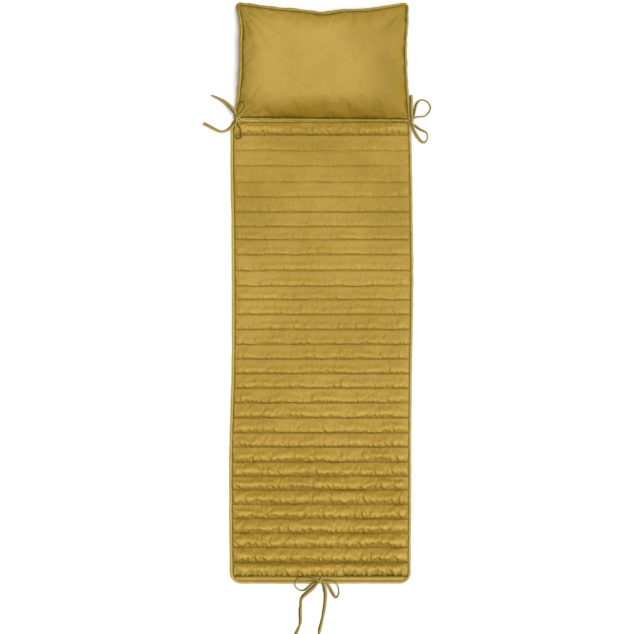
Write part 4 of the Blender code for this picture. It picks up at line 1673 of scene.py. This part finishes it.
@dataclass(frozen=True)
class KnotTurn:
    """The turn of tape round the middle of a bow, a bulging ring with a few creases."""

    inner: float = 0.0040
    outer: float = 0.0064
    half: float = 0.0048
    around: int = 28
    over: int = 18
    crease: float = 0.0004
    crease_rate: float = 6.6
    sway: float = 0.0005
    # How dark the painted shade in the knot's folds is.
    dark: float = 0.8
    rub: float = 0.3

    def build(self, name: str, middle: Places, axis: Places) -> Thing:
        """The turn of tape.

        Args:
            name: The object's name.
            middle: The knot's middle.
            axis: The knot's level axis.

        Returns:
            The turn as a closed ring.
        """
        side = np.array([-axis[1], axis[0], 0.0])
        up = np.array([0.0, 0.0, 1.0])
        angle = np.linspace(0.0, 2 * np.pi, self.around + 1)
        loop = np.linspace(0.0, 2 * np.pi, self.over + 1)
        radius = (self.outer + self.inner) / 2
        spread = np.sign(np.cos(loop)) * np.abs(np.cos(loop)) ** 0.6
        thick = np.sign(np.sin(loop)) * np.abs(np.sin(loop)) ** 0.8
        crease = self.crease * np.sin(self.crease_rate * spread)[None, :]
        crease = crease * (1 + 0.5 * np.sin(angle * 2))[:, None]
        reach = radius + (self.outer - self.inner) / 2 * thick[None, :]
        reach = reach + crease * (thick > 0)[None, :]
        along = self.half * spread[None, :] * (1 + 0.12 * np.sin(angle + 0.7))[:, None]
        along = along + self.sway * np.sin(angle * 2 + 1.0)[:, None]
        points = middle + along[..., None] * axis
        points = points + (reach * np.cos(angle)[:, None])[..., None] * side
        points = points + (reach * np.sin(angle)[:, None])[..., None] * up
        points[-1], points[:, -1] = points[0], points[:, 0]
        flat = np.empty((*points.shape[:2], 2))
        flat[..., 0] = angle[:, None] * radius
        flat[..., 1] = spread[None, :] * self.half
        ring = closed_ring(name, points, flat)
        spots = points_of(ring.data)
        # Painted shade: dark patches that stand in for shade in the knot's folds.
        creased = ripple(spots[:, 0], spots[:, 1], 0.006, 91, 2)
        set_mask(ring.data, "groove", self.dark * ease(creased, 0.0, 0.5))
        set_mask(ring.data, "ridge", np.full(len(spots), self.rub))
        return ring


@dataclass
class TiedTape:
    """A flat tape sewn into the rim and tied in a bow: its ends, loops, root and knot.

    A strand's table has a row for each place: across, along and height in millimetres, how
    far the tape leans over in degrees, and its width. The knot is in millimetres too, with
    its axis turned by so many degrees, and start, spread and throat tell how a strand leaves it.
    """

    name: str
    knot: tuple[float, float, float]
    turn: float
    ends: tuple[Table, ...] = ()
    loops: tuple[Table, ...] = ()
    root: Table = ()
    thickness: float = 0.0014
    step: float = 0.0025
    across: int = 6
    start: float = 6.5
    spread: float = 1.1
    throat_width: float = 5.0
    throat_lean: float = 20.0
    cup: float = 0.00035
    uneven: float = 0.0003
    rub: float = 0.3
    wrap: KnotTurn = field(default_factory=KnotTurn)

    def axis(self) -> Places:
        """The knot's level axis."""
        turn = math.radians(self.turn)
        return np.array([math.cos(turn), math.sin(turn), 0.0])

    def throat(self, row: tuple[float, ...], lift: float) -> tuple[float, ...]:
        """The table row inside the knot that a strand starts from or ends in.

        Args:
            row: The strand's own first or last row.
            lift: How far above the knot's middle.

        Returns:
            The row.
        """
        knot = np.array(self.knot)
        side = 1.0 if (np.array(row[:3]) - knot) @ self.axis() > 0 else -1.0
        start = knot + self.axis() * side * self.start + np.array([0.0, 0.0, lift])
        return (*start, self.throat_lean, self.throat_width)

    def strands(self) -> list[tuple[Strand, Table]]:
        """Every strand's table, with its rows inside the knot."""
        found: list[tuple[Strand, Table]] = []
        for rows in self.ends:
            found.append((Strand.END, (self.throat(rows[0], 0.0), *rows)))
        for rows in self.loops:
            first = self.throat(rows[0], self.spread)
            last = self.throat(rows[-1], -self.spread)
            found.append((Strand.LOOP, (first, *rows, last)))
        found.append((Strand.ROOT, (self.throat(self.root[0], 0.0), *self.root)))
        return found

    def sections(self, rows: Table) -> tuple[Places, Places, Places]:
        """Places, leans and widths at even steps on a smooth path through a table.

        Args:
            rows: The strand's table.

        Returns:
            One place a row, then one lean and one width for each.
        """
        points = np.array([row[:3] for row in rows]) * MM
        leans, widths, spots = [], [], []
        for i in range(len(rows) - 1):
            before, after = points[max(i - 1, 0)], points[min(i + 2, len(points) - 1)]
            a, b = points[i], points[i + 1]
            start, end = (b - before) / 2, (after - a) / 2
            count = max(1, round(float(np.linalg.norm(b - a)) / self.step))
            t = np.arange(count + (i == len(rows) - 2)) / count
            t_ = t[:, None]
            spot = a + start * t_ + (3 * (b - a) - 2 * start - end) * t_**2
            spots.append(spot + (2 * (a - b) + start + end) * t_**3)
            blend = t * t * (3 - 2 * t)
            leans.append(rows[i][3] + (rows[i + 1][3] - rows[i][3]) * blend)
            widths.append(rows[i][4] + (rows[i + 1][4] - rows[i][4]) * blend)
        return np.vstack(spots), np.concatenate(leans), np.concatenate(widths) * MM

    def strip(self, name: str, rows: Table, seed: int) -> tuple[Thing, float]:
        """One strand as a thin ribbon, and its length.

        Args:
            name: The ribbon's name.
            rows: The strand's table.
            seed: Picks its unevenness.

        Returns:
            The ribbon and its length in metres.
        """
        spots, lean, width = self.sections(rows)
        last = len(spots) - 1
        run = np.gradient(spots, axis=0)
        run /= np.linalg.norm(run, axis=1, keepdims=True)
        level = np.stack([-run[:, 1], run[:, 0], np.zeros(last + 1)], axis=1)
        level /= np.linalg.norm(level, axis=1, keepdims=True)
        rise = np.cross(run, level)
        rise *= np.where(rise[:, 2:] > 0, 1.0, -1.0)
        lean = np.radians(lean)[:, None]
        edge = level * np.cos(lean) + rise * np.sin(lean)
        face = np.cross(run, edge)
        sheet, column, row = Grid(last, self.across).sheet(name)
        side = 2 * row / self.across - 1
        pieces = np.linalg.norm(np.diff(spots, axis=0), axis=1)
        length = np.concatenate([[0.0], np.cumsum(pieces)])
        bow = self.cup * (1 - side**2)
        bow += self.uneven * ripple(length[column], side * 0.004, 0.02, seed, 2)
        points = spots[column] + edge[column] * (side * width[column] / 2)[:, None]
        points += face[column] * bow[:, None]
        move_points(sheet.data, points)
        set_cloth_map(sheet.data, np.stack([length[column], side * width[column] / 2], axis=1))
        # Painted shade on the half of the tape whose edge faces away from the light.
        turned_from_light = side * (edge[column] @ np.array(SHADED_SIDE))
        set_mask(sheet.data, "groove", ease(turned_from_light, -0.25, 0.35))
        return sheet, float(length[-1])

    def build_tape(self) -> tuple[Thing, float]:
        """The tape's strands as one piece, and the tape's length."""
        bm = bmesh.new()
        total = 0.0
        for number, (_, rows) in enumerate(self.strands()):
            strip, length = self.strip(f"strand_{number}", rows, 50 + number)
            total += length
            bm.from_mesh(strip.data)
            discard(strip)
        tape = as_thing(f"{self.name}_cloth_tape", bm)
        set_mask(tape.data, "ridge", np.full(len(tape.data.vertices), self.rub))
        thick = tape.modifiers.new("thickness", "SOLIDIFY")
        thick.thickness = self.thickness
        thick.offset = 0.0
        return tape, total

    def build_wrap(self) -> Thing:
        """The turn of tape round the middle that makes the knot."""
        middle = np.array(self.knot) * MM
        return self.wrap.build(f"{self.name}_cloth_knot", middle, self.axis())


# ---------------------------------------------------------------- sewing


@dataclass
class RowStitching:
    """The thread of the pad's sewn rows, stitch by stitch."""

    length: float = 0.0046
    pitch: float = 0.0060
    thread: float = 0.00042
    rise: float = 0.0003
    end_gap: float = 0.006

    def build(self, pad: QuiltedPad) -> Thing:
        """Every row's stitches as one piece.

        Args:
            pad: The pad whose rows are sewn.

        Returns:
            The stitches.
        """
        bm = bmesh.new()
        for along in pad.seams()[1:]:
            left, right = (float(side[0]) for side in pad.sides(np.array([along])))
            count = int((right - left - 2 * self.end_gap) / self.pitch)
            row = bmesh.new()
            bmesh.ops.create_uvsphere(row, u_segments=6, v_segments=4, radius=1.0)
            bmesh.ops.rotate(row, verts=row.verts[:], matrix=TO_X)
            bmesh.ops.scale(
                row, verts=row.verts[:], vec=(self.length / 2, self.thread, self.thread)
            )
            stitch = bpy.data.meshes.new("stitch")
            row.to_mesh(stitch)
            row.free()
            start = (left + right) / 2 - (count - 1) * self.pitch / 2
            places = start + np.arange(count) * self.pitch
            shape = points_of(stitch)
            line = bmesh.new()
            for _ in range(count):
                line.from_mesh(stitch)
            mesh = bpy.data.meshes.new("stitches")
            line.to_mesh(mesh)
            line.free()
            points = np.tile(shape, (count, 1))
            points[:, 0] += np.repeat(places, len(shape))
            points[:, 1] += along
            points[:, 2] += pad.row_level(points[:, 0], points[:, 1]) + self.rise
            move_points(mesh, points)
            bm.from_mesh(mesh)
            bpy.data.meshes.remove(mesh)
            bpy.data.meshes.remove(stitch)
        return as_thing("pad_stitching", bm)


# ---------------------------------------------------------------- studio


@dataclass
class Studio:
    """Plain pale floor, soft light and the camera straight above, as in the photograph.

    The width is what the picture shows, in metres. The light's tilt, turn and spread are in
    degrees.
    """

    centre: tuple[float, float] = (-0.014, 0.115)
    width: float = 2.1133
    lens: float = 200.0
    sensor: float = 36.0
    key: float = 2.7
    fill: float = 0.30
    key_tilt: float = 2.0
    key_turn: float = -13.0
    key_spread: float = 30.0

    def floor(self) -> None:
        """The floor, which isn't part of the object."""
        bm = bmesh.new()
        bmesh.ops.create_grid(bm, x_segments=1, y_segments=1, size=30.0)
        bmesh.ops.translate(bm, verts=bm.verts[:], vec=(0.0, 0.0, -0.0004))
        floor = as_thing("floor", bm)
        paper, _, shader = new_finish("floor_paper")
        shader.inputs["Base Color"].default_value = (0.93, 0.93, 0.93, 1.0)
        shader.inputs["Roughness"].default_value = 0.9
        shader.inputs["Specular IOR Level"].default_value = 0.1
        floor.data.materials.append(paper)

    def lights(self) -> None:
        """A broad soft key from nearly overhead, a little to the right, and an even fill."""
        lamp = bpy.data.lights.new("key", "SUN")
        lamp.energy = self.key
        lamp.angle = math.radians(self.key_spread)
        key = bpy.data.objects.new("key", lamp)
        bpy.context.scene.collection.objects.link(key)
        key.rotation_euler = (math.radians(-self.key_tilt), math.radians(-self.key_turn), 0.0)
        world = bpy.data.worlds.new("studio")
        world.use_nodes = True
        world.node_tree.nodes["Background"].inputs["Color"].default_value = (1, 1, 1, 1)
        world.node_tree.nodes["Background"].inputs["Strength"].default_value = self.fill
        bpy.context.scene.world = world

    def camera(self) -> None:
        """The camera over the middle of the photograph's frame."""
        eye = bpy.data.cameras.new("camera")
        eye.lens = self.lens
        eye.sensor_width = self.sensor
        eye.clip_start = 0.1
        eye.clip_end = 100.0
        camera = bpy.data.objects.new("camera", eye)
        bpy.context.scene.collection.objects.link(camera)
        height = self.width / 2 / (self.sensor / 2 / self.lens)
        camera.location = (*self.centre, height)
        bpy.context.scene.camera = camera

    def build(self) -> None:
        """The whole studio."""
        bpy.context.scene.view_settings.view_transform = "Standard"
        self.floor()
        self.lights()
        self.camera()


TIES = (
    TiedTape(
        name="left",
        knot=(-280.0, 777.0, 25.0),
        turn=70,
        ends=(
            (
                # across, along, height, lean, width
                (-284.5, 792.0, 26.5, 8, 9.0),
                (-295.3, 808.0, 24.0, 12, 13.0),
                (-318.3, 829.5, 13.0, 25, 11.5),
                (-342.0, 843.7, 8.0, 55, 11.0),
                (-366.0, 854.0, 6.2, 72, 11.0),
            ),
            (
                (-288.0, 760.0, 21.0, 10, 9.0),
                (-299.0, 746.5, 15.5, 20, 10.5),
                (-318.3, 735.3, 8.0, 50, 11.0),
                (-335.3, 733.3, 6.2, 55, 11.0),
                (-355.7, 741.7, 5.6, 45, 11.0),
                (-376.0, 752.7, 4.8, 35, 11.5),
                (-393.0, 760.3, 4.4, 32, 11.5),
            ),
        ),
        loops=(
            (
                (-277.5, 796.0, 27.5, 60, 8.5),
                (-274.0, 815.0, 32.0, 70, 10.5),
                (-267.5, 828.0, 39.5, 70, 11.0),
                (-257.0, 829.0, 44.5, 70, 11.0),
                (-251.5, 817.0, 42.0, 70, 10.5),
                (-261.0, 800.0, 34.5, 60, 8.5),
            ),
            (
                (-286.5, 747.0, 24.5, 60, 9.0),
                (-288.5, 722.0, 21.0, 65, 10.5),
                (-277.0, 708.3, 28.0, 65, 10.5),
                (-264.0, 716.3, 27.5, 65, 10.5),
                (-268.0, 741.7, 31.0, 60, 9.0),
            ),
        ),
        root=(
            (-268.0, 774.0, 20.0, 0, 8.5),
            (-258.0, 776.0, 19.7, 0, 9.5),
        ),
    ),
    TiedTape(
        name="right",
        knot=(301.0, 767.0, 25.0),
        turn=80,
        ends=(
            (
                (300.5, 788.0, 26.0, 4, 9.0),
                (299.8, 812.0, 26.0, 6, 11.0),
                (299.8, 834.0, 24.5, 8, 11.0),
                (299.4, 853.0, 17.5, 8, 11.0),
            ),
        ),
        loops=(
            (
                (308.5, 786.0, 17.0, 55, 9.0),
                (312.5, 806.0, 12.0, 50, 10.5),
                (318.5, 825.0, 7.0, 55, 11.0),
                (330.0, 837.2, 6.3, 75, 11.0),
                (345.5, 836.5, 6.3, 78, 11.0),
                (358.7, 826.7, 6.3, 78, 11.0),
                (364.0, 812.5, 6.3, 72, 11.0),
                (360.0, 799.0, 6.3, 66, 11.0),
                (346.5, 785.5, 6.5, 70, 11.0),
                (330.0, 782.5, 9.0, 70, 11.0),
                (317.0, 781.0, 15.5, 62, 9.0),
            ),
            (
                (313.0, 752.0, 18.0, 48, 9.0),
                (327.0, 741.7, 9.5, 55, 11.0),
                (340.5, 734.5, 6.3, 60, 11.0),
                (350.5, 729.0, 6.3, 75, 11.0),
                (354.0, 718.5, 6.3, 78, 11.0),
                (352.0, 705.5, 6.3, 76, 11.0),
                (343.0, 696.5, 6.3, 60, 11.0),
                (331.3, 703.3, 6.3, 48, 11.0),
                (318.7, 720.3, 10.5, 42, 11.0),
                (308.0, 739.5, 16.5, 38, 9.0),
            ),
        ),
        root=(
            (288.0, 768.8, 19.4, 0, 9.0),
            (279.5, 771.2, 18.9, 0, 10.5),
        ),
    ),
    TiedTape(
        name="foot",
        knot=(-1.0, -763.5, 16.6),
        turn=0,
        ends=(
            (
                (-15.5, -774.0, 14.5, 6, 9.0),
                (-29.0, -788.5, 9.0, 8, 12.5),
                (-47.3, -804.5, 4.8, 8, 13.0),
                (-61.5, -817.5, 3.6, 22, 12.0),
                (-67.5, -830.0, 5.1, 48, 11.0),
                (-67.8, -845.0, 4.8, 40, 11.0),
                (-69.5, -860.0, 3.4, 18, 11.0),
                (-69.3, -880.0, 2.6, 8, 11.0),
                (-69.0, -898.0, 3.8, 28, 11.0),
                (-71.8, -912.0, 5.5, 55, 11.0),
                (-77.5, -926.0, 4.8, 42, 11.0),
                (-84.5, -942.0, 2.8, 14, 11.0),
                (-91.0, -957.0, 1.8, 4, 11.0),
            ),
            (
                (9.5, -777.0, 14.5, 8, 8.5),
                (12.5, -791.5, 9.5, 10, 11.5),
                (14.3, -810.0, 4.0, 12, 11.5),
                (13.0, -837.3, 2.4, 6, 11.0),
                (10.3, -857.7, 2.4, 6, 11.0),
                (5.5, -882.0, 4.6, 40, 11.0),
                (1.0, -904.0, 4.2, 34, 11.0),
                (-4.5, -925.0, 3.2, 16, 11.0),
                (-7.3, -941.7, 5.8, 60, 11.0),
                (-9.0, -957.0, 5.9, 62, 11.0),
            ),
        ),
        loops=(
            (
                (-24.0, -756.5, 18.0, 66, 8.5),
                (-49.0, -752.5, 17.5, 72, 10.5),
                (-70.0, -752.3, 17.6, 72, 11.0),
                (-82.3, -759.7, 17.6, 74, 11.0),
                (-87.7, -773.3, 16.0, 76, 11.0),
                (-82.0, -787.0, 9.0, 76, 11.0),
                (-68.3, -796.0, 6.3, 70, 11.0),
                (-54.3, -794.0, 6.3, 64, 10.0),
                (-40.7, -783.0, 9.5, 56, 8.5),
                (-25.0, -769.5, 15.5, 50, 7.5),
            ),
            (
                (22.7, -761.0, 17.5, 70, 9.5),
                (39.3, -764.5, 18.0, 74, 11.0),
                (52.0, -773.0, 16.0, 76, 11.0),
                (58.0, -790.0, 8.0, 76, 11.0),
                (58.0, -808.0, 6.3, 70, 11.0),
                (49.0, -819.5, 6.0, 62, 11.0),
                (38.5, -805.0, 5.8, 40, 11.0),
                (29.0, -787.0, 9.5, 34, 10.0),
                (20.0, -773.5, 14.5, 30, 7.5),
            ),
        ),
        root=(
            (-1.0, -755.6, 12.4, 0, 8.0),
            (-1.0, -751.8, 10.6, 0, 9.5),
        ),
    ),
)


def main() -> None:
    """Builds the studio and the cushion's pieces in order."""
    logging.basicConfig(level=logging.INFO, format="%(name)s: %(message)s")
    Studio().build()
    for make in (build_weave, build_mottle, build_shade_and_wear, build_crumple):
        make()
    # Each finish's second colour is used for the painted shade of hollows, and its third serves for
    # wear and for painted light.
    pad_cloth = ClothFinish(
        ClothUse.PAD,
        (0.458, 0.300, 0.047),
        (0.100, 0.060, 0.001),
        (0.71, 0.482, 0.120),
        mottling=0.20,
    ).build()
    pillow_cloth = ClothFinish(
        ClothUse.PILLOW,
        (0.360, 0.234, 0.034),
        (0.135, 0.081, 0.001),
        (0.71, 0.478, 0.112),
        slub=1.2,
        crumple=0.06,
        streaks=0.22,
    ).build()
    piping_cloth = ClothFinish(
        ClothUse.PIPING, (0.60, 0.455, 0.125), (0.16, 0.10, 0.008), (0.72, 0.57, 0.20), crumple=0.4
    ).build()
    # A darker copy of the piping cloth: painted shade for the pillow's cord.
    shaded_cloth = ClothFinish(
        ClothUse.PIPING, (0.46, 0.325, 0.060), (0.085, 0.052, 0.002), (0.62, 0.47, 0.12), crumple=0.4
    ).build()
    tape_cloth = ClothFinish(
        ClothUse.TAPE, (0.56, 0.41, 0.09), (0.055, 0.035, 0.003), (0.70, 0.54, 0.17), crumple=0.4
    ).build()
    thread = ThreadFinish().build()

    pad_shape = QuiltedPad()
    pad = pad_shape.build()
    hand_over(pad, ClothUse.PAD, pad_cloth, "mat")

    pad_cord = Piping(seed=11).build("pad_piping", pad_shape.cord_path())
    hand_over(pad_cord, ClothUse.PIPING, piping_cloth, "mat_piping")

    sewing = RowStitching().build(pad_shape)
    hand_over(sewing, ClothUse.PAD, thread)

    pillow_shape = HeadPillow()
    pillow = pillow_shape.build()
    hand_over(pillow, ClothUse.PILLOW, pillow_cloth, "pillow")

    # The pillow's cord gets strong painted shade on the side turned from the light.
    pillow_cord = Piping(wander=0.0012, pucker=0.0005, side_shade=0.9, seed=29).build(
        "pillow_cord", pillow_shape.cord_path()
    )
    hand_over(pillow_cord, ClothUse.PIPING, shaded_cloth, "pillow_piping")

    for tie in TIES:
        tape, length = tie.build_tape()
        wrap = tie.build_wrap()
        hand_over(tape, ClothUse.TAPE, tape_cloth, f"tie_{tie.name}_tape")
        hand_over(wrap, ClothUse.TAPE, tape_cloth, f"tie_{tie.name}_wrap")
        LOG.info("%s tie: %.0f mm of tape", tie.name, length / MM)


if __name__ == "__main__":
    main()
